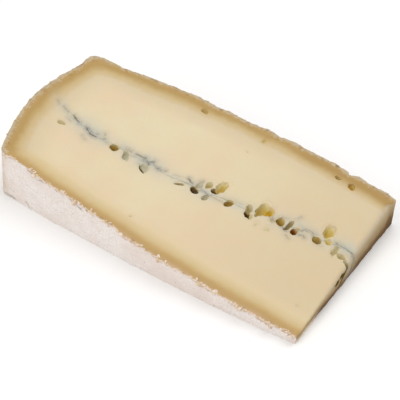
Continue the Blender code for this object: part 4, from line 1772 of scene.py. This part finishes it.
        # Painted shade: dark brown pockets under the torn crust, near the edge
        hollow = {"Vector": place, "Scale": per_mm(3.2), "Detail": 3.0, "Roughness": 0.65}
        hollows = node("ShaderNodeTexNoise", hollow)
        pocket_shade_share = node("ShaderNodeMapRange", {0: hollows, 1: 0.56, 2: 0.66, 4: 0.68})
        outer = node("ShaderNodeMapRange", {0: stored["edge_gap"], 1: 2.4, 2: 1.3})
        pocket_shade = node("ShaderNodeMath", {0: pocket_shade_share, 1: outer}, operation="MULTIPLY")

        # The old cut at the tip: its dried brown skin, with painted shade that darkens it towards
        # the floor
        dried = node("ShaderNodeValToRGB", {"Fac": stored["tip_depth"]})
        fill_ramp(dried, self.tip_dried_and_shaded, 1.0)
        corner = {0: stored["tip_fresh"], UNDER: dried, OVER: linear(self.tip_fresh)}
        tip = node("ShaderNodeMix", corner, MIXED, data_type="RGBA")

        # Bloom, the eyes' linings with their painted shade, and the ash
        bloom = node("ShaderNodeMath", {0: stored["ash_halo"], 1: 0.85}, operation="MULTIPLY")
        lining = node("ShaderNodeAttribute", attribute_name="eye_lining")
        dust = {"Vector": place, "Scale": per_mm(0.7), "Detail": 4.0}
        specks = node("ShaderNodeTexNoise", dust)
        broken = node("ShaderNodeMapRange", {0: specks, 1: 0.34, 2: 0.58, 3: 0.6})
        kept = node("ShaderNodeMath", {0: stored["ash_stain"], 1: broken}, operation="MULTIPLY")
        colour = rim
        for share, over in (
            (inward, base),
            (crusted, crust),
            (pocket_shade, linear(self.pocket_shade)),
            (stored["tip_share"], tip),
            (bloom, linear(self.halo)),
            (stored["eye_share"], lining),
            (kept, linear(self.ash)),
        ):
            layers = {0: share, UNDER: colour, OVER: over}
            colour = node("ShaderNodeMix", layers, MIXED, data_type="RGBA")
        tree.links.new(colour, shader.inputs["Base Color"])

        # Curd grain of 0.7 mm over the knife's own 2.4 mm smears
        grain = {0: specks, 1: 0.5, 2: fine}
        height = node("ShaderNodeMath", grain, operation="MULTIPLY_ADD")
        relief = {"Strength": 0.4, "Distance": 0.15 * MM, "Height": height}
        tree.links.new(node("ShaderNodeBump", relief), shader.inputs["Normal"])
        dull = {0: stored["tip_share"], 1: self.tip_roughness - self.roughness, 2: self.roughness}
        rough = node("ShaderNodeMath", dull, operation="MULTIPLY_ADD")
        tree.links.new(rough, shader.inputs["Roughness"])
        shine = {0: stored["eye_share"], 1: -self.shine, 2: self.shine}
        shine = node("ShaderNodeMath", shine, operation="MULTIPLY_ADD")
        tree.links.new(shine, shader.inputs["Specular IOR Level"])
        shader.inputs["IOR"].default_value = self.ior
        shader.inputs["Subsurface Weight"].default_value = 0.22
        shader.inputs["Subsurface Radius"].default_value = (1.0, 0.55, 0.25)
        shader.inputs["Subsurface Scale"].default_value = 2.2 * MM
        return material


@dataclass(frozen=True)
class RindFinish:
    """Dry rind with a white bloom, pressed in cloth: dusty, with faint lengthwise lines."""

    bloom: str = "F6EFEB"
    dusk: str = "E3D7CD"
    pink: str = "ECDCD3"
    tan: str = "CBB594"
    speck: str = "A3927E"
    # Painted shade of the gaps under lifted flaps of rind
    crack: str = "6E6052"
    roughness: float = 0.9
    ior: float = 1.4

    def build(self) -> bpy.types.Material:
        """Makes the material: 0.7 mm dust grain, 1 mm cloth lines and broad pink clouds.

        Returns:
            The material.
        """
        material, tree, shader = new_material("bloomy_rind")
        node = partial(add_node, tree)
        place = node("ShaderNodeTexCoord", out="Object")
        broad = {"Vector": place, "Scale": per_mm(16.0), "Detail": 3.0}
        cloud = node("ShaderNodeTexNoise", broad)
        dust = node("ShaderNodeTexNoise", {"Vector": place, "Scale": per_mm(0.7), "Detail": 3.0})
        along_cloth = {"Vector": place, "Scale": (per_mm(3.6), per_mm(4.0), per_mm(1.0))}
        stretched = node("ShaderNodeMapping", along_cloth)
        threads = node("ShaderNodeTexNoise", {"Vector": stretched, "Scale": 1.0})

        pinked = node("ShaderNodeMapRange", {0: cloud, 1: 0.42, 2: 0.66, 4: 0.8})
        grainy = node("ShaderNodeMapRange", {0: dust, 1: 0.44, 2: 0.70, 4: 0.75})
        lined = node("ShaderNodeMapRange", {0: threads, 1: 0.48, 2: 0.70, 4: 0.35})

        pale = node("ShaderNodeAttribute", out="Fac", attribute_name="bloom_share")
        bare = node("ShaderNodeMath", {0: 1.0, 1: pale}, operation="SUBTRACT")
        mottled = {"Vector": place, "Scale": per_mm(4.0), "Detail": 5.0, "Roughness": 0.6}
        mottle = node("ShaderNodeTexNoise", mottled)
        patch = node("ShaderNodeMapRange", {0: mottle, 1: 0.34, 2: 0.62, 3: 0.35})
        worn = node("ShaderNodeMath", {0: bare, 1: patch}, operation="MULTIPLY")
        pores = node("ShaderNodeTexVoronoi", {"Vector": place, "Scale": per_mm(3.4)})
        dots = node("ShaderNodeMapRange", {0: pores, 1: 0.05, 2: 0.13, 3: 0.5, 4: 0.0})
        # Painted shade of the gaps under lifted flaps of rind
        gaps = node("ShaderNodeAttribute", out="Fac", attribute_name="crack")
        colour = linear(self.bloom)
        for share, over in (
            (pinked, self.pink),
            (grainy, self.dusk),
            (lined, self.dusk),
            (worn, self.tan),
            (dots, self.speck),
            (gaps, self.crack),
        ):
            layers = {0: share, UNDER: colour, OVER: linear(over)}
            colour = node("ShaderNodeMix", layers, MIXED, data_type="RGBA")
        tree.links.new(colour, shader.inputs["Base Color"])

        height = node("ShaderNodeMath", {0: threads, 1: dust})
        relief = {"Strength": 0.9, "Distance": 0.35 * MM, "Height": height}
        tree.links.new(node("ShaderNodeBump", relief), shader.inputs["Normal"])
        shader.inputs["Roughness"].default_value = self.roughness
        shader.inputs["IOR"].default_value = self.ior
        shader.inputs["Specular IOR Level"].default_value = 0.2
        shader.inputs["Sheen Weight"].default_value = 0.12
        return material


@dataclass(frozen=True)
class AshFinish:
    """Vegetable ash pressed into wet curd: matt blue-grey, pale where the curds knit over it."""

    ivory: str = "D5CAB1"
    halo: str = "CAC8B8"
    ash: str = "4A4D56"
    roughness: float = 0.75
    ior: float = 1.45

    def build(self) -> bpy.types.Material:
        """Makes the material, with the ash broken up by a 0.7 mm grain.

        Returns:
            The material.
        """
        material, tree, shader = new_material("pressed_vegetable_ash")
        node = partial(add_node, tree)
        place = node("ShaderNodeTexCoord", out="Object")
        dust = {"Vector": place, "Scale": per_mm(0.7), "Detail": 4.0}
        specks = node("ShaderNodeTexNoise", dust)
        halo = node("ShaderNodeAttribute", out="Fac", attribute_name="ash_halo")
        stain = node("ShaderNodeAttribute", out="Fac", attribute_name="ash_stain")
        inside = node("ShaderNodeAttribute", out="Fac", attribute_name="eye_share")
        lining = node("ShaderNodeAttribute", attribute_name="eye_lining")
        broken = node("ShaderNodeMapRange", {0: specks, 1: 0.34, 2: 0.62, 3: 0.3})
        kept = node("ShaderNodeMath", {0: stain, 1: broken}, operation="MULTIPLY")
        colour = linear(self.ivory)
        for share, over in (
            (halo, linear(self.halo)),
            (inside, lining),
            (kept, linear(self.ash)),
        ):
            layers = {0: share, UNDER: colour, OVER: over}
            colour = node("ShaderNodeMix", layers, MIXED, data_type="RGBA")
        tree.links.new(colour, shader.inputs["Base Color"])
        relief = {"Strength": 0.5, "Distance": 0.1 * MM, "Height": specks}
        tree.links.new(node("ShaderNodeBump", relief), shader.inputs["Normal"])
        shader.inputs["Roughness"].default_value = self.roughness
        shader.inputs["IOR"].default_value = self.ior
        return material


@dataclass(frozen=True)
class CrumbFinish:
    """Crumbs of dry rind: floury white under the bloom, greyish tan elsewhere."""

    floury: str = "EDDDCC"
    toasted: str = "DAC0A0"
    grey_tan: str = "D2C2A9"
    brown_tan: str = "BFA67C"
    roughness: float = 0.85
    ior: float = 1.4

    def build(self) -> bpy.types.Material:
        """Makes the material, which changes from crumb to crumb.

        Returns:
            The material.
        """
        material, tree, shader = new_material("dry_rind_crumb")
        node = partial(add_node, tree)
        place = node("ShaderNodeTexCoord", out="Object")
        crumb_wide = {"Vector": place, "Scale": per_mm(1.6), "Detail": 2.0}
        patches = node("ShaderNodeTexNoise", crumb_wide)
        share = node("ShaderNodeMapRange", {0: patches, 1: 0.44, 2: 0.62})
        layers = {0: share, UNDER: linear(self.floury), OVER: linear(self.toasted)}
        bloomed = node("ShaderNodeMix", layers, MIXED, data_type="RGBA")
        layers = {0: share, UNDER: linear(self.grey_tan), OVER: linear(self.brown_tan)}
        bare = node("ShaderNodeMix", layers, MIXED, data_type="RGBA")
        pale = node("ShaderNodeAttribute", out="Fac", attribute_name="bloom_share")
        layers = {0: pale, UNDER: bare, OVER: bloomed}
        colour = node("ShaderNodeMix", layers, MIXED, data_type="RGBA")
        tree.links.new(colour, shader.inputs["Base Color"])
        shader.inputs["Roughness"].default_value = self.roughness
        shader.inputs["IOR"].default_value = self.ior
        shader.inputs["Specular IOR Level"].default_value = 0.2
        return material


# ---------------------------------------------------------------- pieces


@dataclass(frozen=True)
class Paste:
    """The cheese itself: its skin, its eyes, the slot for the ash, and its materials."""

    form: WedgeForm
    marks: AshMarks
    cutters: EyeCutters
    skin: PasteSkin
    # painted shade: how much darker each eye's lining is made towards its bottom
    painted_deep_shade: float = 0.9
    full_shade_depth: float = 2.5  # an eye as deep as this is as dark as its lining gets
    split_depth: float = 4.0
    thin_crust: float = 0.5  # how much less of the near edge has crumbled than of the others
    eye_bloom: str = "E3D9B8"
    bloomed: float = 0.5  # how much of the bloom the shallow part of an eye carries
    clouds: Lumps = Lumps(1.3, 1.3, 61.0)
    gentle_edge: Climb = Climb(-0.12, 0.5)  # where the lining of a gentle eye fades in
    mouth_start: float = 0.1  # how far below the cut any lining starts
    gentle_mouth: float = 0.5  # and over what depth it fades in, in a gentle eye
    sharp_mouth: float = 1.3  # and in another
    lined_reach: Climb = Climb(1.35, -0.3)  # in an eye's sizes, how far out a lining goes
    crack_shake: Lumps = Lumps(0.35, 1.8, 71.0)
    crack_face: float = 2.0  # how far in from the near face cracks still show
    crack_smear: float = 0.25
    crack_reach: float = 0.5
    far_bloom: float = 0.6
    far_bloom_from: Climb = Climb(28.0, 8.0)
    far_bloom_heel: Climb = Climb(0.0, 8.0)
    aged: float = 0.32
    aged_from: Climb = Climb(96.0, 14.0)
    aged_depth: Climb = Climb(6.0, -3.0)
    tip_skin: Climb = Climb(0.9, -0.5)  # how deep the old cut's brown skin is
    tip_below: Climb = Climb(0.0, 1.2)  # how it takes hold under the upper cut
    fresh_from: Climb = Climb(18.0, 12.0)  # towards the near side, where it stays fresh
    fresh_depth: Climb = Climb(0.2, 0.7)
    dried_near: tuple[float, Climb] = (0.35, Climb(12.0, 16.0))  # its strength, and where
    dried_far: tuple[float, Climb] = (0.2, Climb(32.0, 4.0))
    clean_eyes: float = 0.8  # how much of the ash an eye's lining hides
    clean_tip: float = 0.7  # and how much of its halo the old cut at the tip hides
    # painted shade: how much darker the paste is made towards the tip
    tipward: float = 0.7
    tip_shade_from: Climb = Climb(55.0, 100.0)
    sharp_angle: float = 48.0

    def build(self, plate: AshPlate) -> Piece:
        """Makes the finished piece.

        Args:
            plate: The ash layer's plate, which cuts its slot.

        Returns:
            The paste's object.
        """
        piece = self.skin.build()
        log.info("paste skin: %d faces", len(piece.data.polygons))
        subtract(piece, [*self.cutters.build(), plate.build("ash_slot", True)])
        self.dress(piece)
        return piece

    def lining(self, points: Array) -> tuple[Array, Array]:
        """The colour of the eyes' lining at each point, and how much of it shows.

        The lining is painted darker and fuller towards the bottom of an eye, as painted shade: the
        colour there is the lining's own taken to a higher power.

        Args:
            points: One row of along, across and height for each point.

        Returns:
            Linear red, green and blue for each point, and a share from 0 to 1.
        """
        reach, owner, within = self.cutters.nearest(points)
        at_tip = 1 + len(self.cutters.tip_holes)
        linings = [eye.lining for eye in OPEN_EYES] + [Lining.TAUPE] * at_tip
        colours = np.array([linear(lining.value)[:3] for lining in linings])[owner]
        depths = np.array([eye.depth for eye in OPEN_EYES] + [self.split_depth] * at_tip)[owner]
        below = self.form.top_height(points[:, 0], points[:, 1]) - points[:, 2]
        # Painted shade: how far down its eye each point lies, which darkens the lining
        sunk = (smoothstep(below / depths) * smoothstep(depths / self.full_shade_depth))[:, None]
        cloudy = smoothstep(0.5 + self.clouds.at(points))[:, None]
        bloom = np.array(linear(self.eye_bloom)[:3])
        colours = colours + (bloom - colours) * self.bloomed * cloudy * (1 - sunk)
        colours = colours ** (1 + self.painted_deep_shade * sunk)
        gentle = np.array([eye.sunk < 0 for eye in OPEN_EYES] + [False] * at_tip)[owner]
        faded = np.where(gentle, self.gentle_edge.at(within), 1.0)
        mouth = np.where(gentle, self.gentle_mouth, self.sharp_mouth)
        shown = faded * smoothstep((below - self.mouth_start) / mouth)
        return colours, shown * self.lined_reach.at(reach)

    def crack_shades(self, points: Array) -> Array:
        """How dark the gaps under the lifted flaps of rind make each point of the near face.

        Args:
            points: One row of along, across and height for each point.

        Returns:
            One value for each point.
        """
        along, across, height = points.T
        drop = self.form.top_height(along, across) - height
        shaken = self.crack_shake.at(points)
        on_face = smoothstep(self.crack_face - self.form.half_height(along, -1) - across)
        smear, reach = self.crack_smear, self.crack_reach
        # Painted shade: the gaps under lifted flaps are only drawn dark
        return drawn(RIND_CRACK_SHADES, along + shaken, drop - shaken, smear, reach) * on_face

    def far_bloom_share(self, points: Array) -> Array:
        """How much white bloom the far face carries: less than the near one, on a barer rind.

        Args:
            points: One row of along, across and height for each point.

        Returns:
            One value for each point.
        """
        beside = self.far_bloom * self.far_bloom_from.at(points[:, 1])
        return beside * self.far_bloom_heel.at(points[:, 0])

    def aged_rim(self, points: Array, gap: Array) -> Array:
        """How much browner the rim has dried towards the tip, where the wedge is thin.

        Args:
            points: One row of along, across and height for each point.
            gap: Each point's depth in the rim.

        Returns:
            One value for each point.
        """
        tipward = self.aged_from.at(points[:, 0]) * (points[:, 1] > 0)
        return self.aged * tipward * self.aged_depth.at(gap)

    def tip_shares(self, points: Array) -> tuple[Array, Array, Array]:
        """How much of each point is the tip's old cut, how deep it lies, and how fresh it is.

        Args:
            points: One row of along, across and height for each point.

        Returns:
            The three shares, one value of each for every point.
        """
        form = self.form
        along, across, height = points.T
        top = form.top_height(along, across)
        share = np.clip(height / top, 0.0, 1.0)
        behind = form.length - form.tip_shift(across, share) - along
        on_tip = self.tip_skin.at(behind) * self.tip_below.at(top - height)
        # Painted shade: the old cut is made darker the lower it lies, towards the floor
        depth = 1 - share
        fresh = self.fresh_from.at(-across) * self.fresh_depth.at(depth)
        deeper = 0.0
        for side, (strength, where) in ((-1, self.dried_near), (1, self.dried_far)):
            deeper = deeper + strength * where.at(side * across)
        return on_tip, depth + deeper, fresh

    def dress(self, piece: Piece) -> None:
        """Stores what the materials read, and sets the materials and smoothness.

        Args:
            piece: The paste after its cuts.
        """
        mesh = piece.data
        points = mesh_points(mesh, self.form)
        gap, beside_near = self.form.rind_gap(*points.T)
        edge_gap = self.form.rind_gap(*points.T, worn=True)[0] + self.thin_crust * beside_near
        on_tip, tip_depth, tip_fresh = self.tip_shares(points)
        colours, share = self.lining(points)
        stored = {
            "rind_gap": gap,
            "edge_gap": edge_gap,
            "beside_near": beside_near,
            "ash_stain": self.marks.stain(points) * (1 - self.clean_eyes * share),
            "ash_halo": self.marks.halo(points) * (1 - self.clean_tip * on_tip) * (1 - share),
            "eye_share": share,
            "tip_share": on_tip,
            "tip_depth": tip_depth,
            "tip_fresh": tip_fresh,
            "toward_tip": self.tipward * self.tip_shade_from.at(points[:, 0]),
            "rim_aged": self.aged_rim(points, gap) * (1 - beside_near),
            "bloom_share": bloom_share(points) + self.far_bloom_share(points),
            "crack": self.crack_shades(points),
        }
        for name, values in stored.items():
            store(mesh, name, values)
        store(mesh, "eye_lining", colours, Kind.FLOAT_COLOR)
        mesh.materials[0] = PasteFinish().build()
        mesh.materials[1] = RindFinish().build()
        mesh.shade_smooth()
        mesh.set_sharp_from_angle(angle=math.radians(self.sharp_angle))


@dataclass(frozen=True)
class Ash:
    """The ash layer, cut by the eyes as the paste is."""

    form: WedgeForm
    marks: AshMarks
    cutters: EyeCutters
    sharp_angle: float = 50.0

    def build(self, plate: AshPlate, paste: Paste) -> Piece:
        """Makes the finished piece, lined inside the eyes as the paste is.

        Args:
            plate: The layer's plate.
            paste: Gives the eyes' lining.

        Returns:
            The layer's object.
        """
        piece = plate.build("ash_plate", False)
        subtract(piece, self.cutters.build())
        points = mesh_points(piece.data, self.form)
        # The linings carry the painted shade deep in the eyes, as on the paste
        colours, share = paste.lining(points)
        stain = self.marks.stain(points) * (1 - paste.clean_eyes * share)
        store(piece.data, "ash_stain", stain)
        store(piece.data, "ash_halo", self.marks.halo(points))
        store(piece.data, "eye_share", share)
        store(piece.data, "eye_lining", colours, Kind.FLOAT_COLOR)
        piece.data.materials.clear()
        piece.data.materials.append(AshFinish().build())
        piece.data.shade_smooth()
        piece.data.set_sharp_from_angle(angle=math.radians(self.sharp_angle))
        return piece


@dataclass(frozen=True)
class CrumbledEdge:
    """All the crumbs on the rind's upper knife edge: dust, and flakes on the near side."""

    form: WedgeForm
    skin: PasteSkin
    flake_spots: tuple[Pair, ...] = (
        (18.5, 3.0),  # along and reach
        (31.0, 2.0),
        (40.0, 3.0),
        (48.0, 2.5),
        (56.0, 2.0),
        (71.5, 1.5),
        (83.5, 3.2),
        (102.0, 3.0),
        (119.5, 3.5),
        (133.5, 2.5),
        (142.0, 2.5),
    )
    bare_tip: Pair = (1.5, 2.0)  # no crumbs this near the tip, and the fade
    patches: Lumps = Lumps(0.9, 6.0, 3.0)
    patch_base: float = 0.55
    crowd_base: float = 0.30
    crowd_pale: float = 0.25  # more crumbs where the rind is pale
    crowd_patchy: float = 0.5
    fewest: float = 0.1
    flakes_between: float = 0.10  # share of the flakes that is kept away from their spots

    def build(self) -> list[Piece]:
        """Makes the dust and the flakes.

        Returns:
            One object for each.
        """
        rim, normals = self.skin.rim()
        finish = CrumbFinish().build()
        start, fade = self.bare_tip
        clear_of_tip = smoothstep((self.form.length - start - rim[:, 0]) / fade)
        pale = bloom_share(rim)
        patchy = self.patch_base + self.patches.at(rim)
        crowd = self.crowd_base + self.crowd_pale * pale + self.crowd_patchy * patchy
        crowd = np.clip(crowd, self.fewest, 1.0) * clear_of_tip
        dust = RimCrumbs(
            self.form,
            "rim_dust",
            pitch=0.10,
            smallest=0.30,
            largest=0.95,
            inward=0.5,
            outward=0.05,
            drop=0.7,
            facets=1,
            seed=11,
        ).build(rim, normals, crowd, finish)
        nearest = np.full(len(rim), self.flakes_between)
        for along, reach in self.flake_spots:
            nearest = np.maximum(nearest, np.exp(-(((rim[:, 0] - along) / reach) ** 2)))
        flakes = RimCrumbs(
            self.form,
            "rim_flakes",
            pitch=0.40,
            smallest=0.8,
            largest=3.0,
            inward=1.1,
            outward=0.1,
            drop=0.8,
            facets=2,
            seed=23,
        ).build(rim, normals, nearest * pale * clear_of_tip, finish)
        return [dust, flakes]


@dataclass(frozen=True)
class Stage:
    """Pale floor, soft lights and the camera."""

    form: WedgeForm
    look_at: Pair = (70.6, 9.3)  # along and across, on the floor
    azimuth: float = 32.86
    elevation: float = 41.54
    distance: float = 600.0
    lens: float = 128.2
    sensor: float = 36.0
    clip: Pair = (0.05, 20.0)  # metres
    floor_half: float = 3.0  # metres
    floor_below: float = 0.1  # millimetres of air under the cheese
    floor_grey: float = 0.90
    floor_glow: float = 0.09
    sky: float = 0.42

    def camera(self) -> None:
        """Places the camera."""
        turn, lift = math.radians(self.azimuth), math.radians(self.elevation)
        level = math.cos(lift)
        back = Vector((math.sin(turn) * level, -math.cos(turn) * level, math.sin(lift)))
        along, across = self.look_at
        target = Vector((along - self.form.middle_along, across, 0.0)) * MM
        data = bpy.data.cameras.new("camera")
        data.lens = self.lens
        data.sensor_width = self.sensor
        data.clip_start, data.clip_end = self.clip
        view = bpy.data.objects.new("camera", data)
        view.location = target + back * self.distance * MM
        view.rotation_mode = "QUATERNION"
        view.rotation_quaternion = (-back).to_track_quat("-Z", "Y")
        bpy.context.scene.collection.objects.link(view)
        bpy.context.scene.camera = view

    def floor(self) -> None:
        """A wide pale floor just under the cheese."""
        mesh = bpy.data.meshes.new("floor")
        half, below = self.floor_half, -self.floor_below * MM
        corners = [(-half, -half, below), (half, -half, below), (half, half, below)]
        mesh.from_pydata([*corners, (-half, half, below)], [], [(0, 1, 2, 3)])
        floor = bpy.data.objects.new("floor", mesh)
        bpy.context.scene.collection.objects.link(floor)
        material, _, shader = new_material("white_paper_sweep")
        shader.inputs["Base Color"].default_value = (*[self.floor_grey] * 3, 1)
        shader.inputs["Roughness"].default_value = 0.9
        shader.inputs["Specular IOR Level"].default_value = 0.0
        shader.inputs["Emission Color"].default_value = (1, 1, 1, 1)
        shader.inputs["Emission Strength"].default_value = self.floor_glow
        mesh.materials.append(material)

    def lamp(self, name: str, place: tuple, size: float, power: float, colour: str) -> None:
        """One square soft light that faces the cheese.

        Args:
            name: Its name.
            place: Metres from the cheese.
            size: Its side in metres.
            power: In watts.
            colour: In sRGB hex.
        """
        data = bpy.data.lights.new(name, "AREA")
        data.shape = "SQUARE"
        data.size = size
        data.energy = power
        data.color = linear(colour)[:3]
        light = bpy.data.objects.new(name, data)
        light.location = place
        light.rotation_mode = "QUATERNION"
        light.rotation_quaternion = (-Vector(place)).to_track_quat("-Z", "Y")
        bpy.context.scene.collection.objects.link(light)

    def build(self) -> None:
        """Makes the whole stage."""
        self.camera()
        self.floor()
        self.lamp("window", (-0.25, -0.85, 0.95), 1.0, 6.8, "FFFCF8")
        self.lamp("overhead", (0.22, 0.60, 1.35), 1.4, 12.0, "FFFFFF")
        world = bpy.data.worlds.new("studio")
        bpy.context.scene.world = world
        world.use_nodes = True
        backdrop = world.node_tree.nodes["Background"].inputs
        backdrop["Color"].default_value = (1, 1, 1, 1)
        backdrop["Strength"].default_value = self.sky
        bpy.context.scene.view_settings.view_transform = "Standard"


def main() -> None:
    """Builds the stage and the pieces in order and reports each."""
    logging.basicConfig(level=logging.INFO, format="%(name)s: %(message)s")
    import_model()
    form = WedgeForm()
    Stage(form).build()

    marks = AshMarks(form)
    cutters = EyeCutters(form)
    surface = CutSurface(form, cutters)
    skin = PasteSkin(form, surface)
    plate = AshPlate(form, marks, surface)

    maker = Paste(form, marks, cutters, skin)
    paste = maker.build(plate)
    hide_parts("paste")
    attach(paste, BODY)
    log.info("paste: %d faces", len(paste.data.polygons))

    ash = Ash(form, marks, cutters).build(plate, maker)
    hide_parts("ash_layer")
    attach(ash, BODY)
    log.info("ash: %d faces", len(ash.data.polygons))

    for crumbs in CrumbledEdge(form, skin).build():
        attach(crumbs, BODY)
        log.info("%s: %d faces", crumbs.name, len(crumbs.data.polygons))


if __name__ == "__main__":
    main()
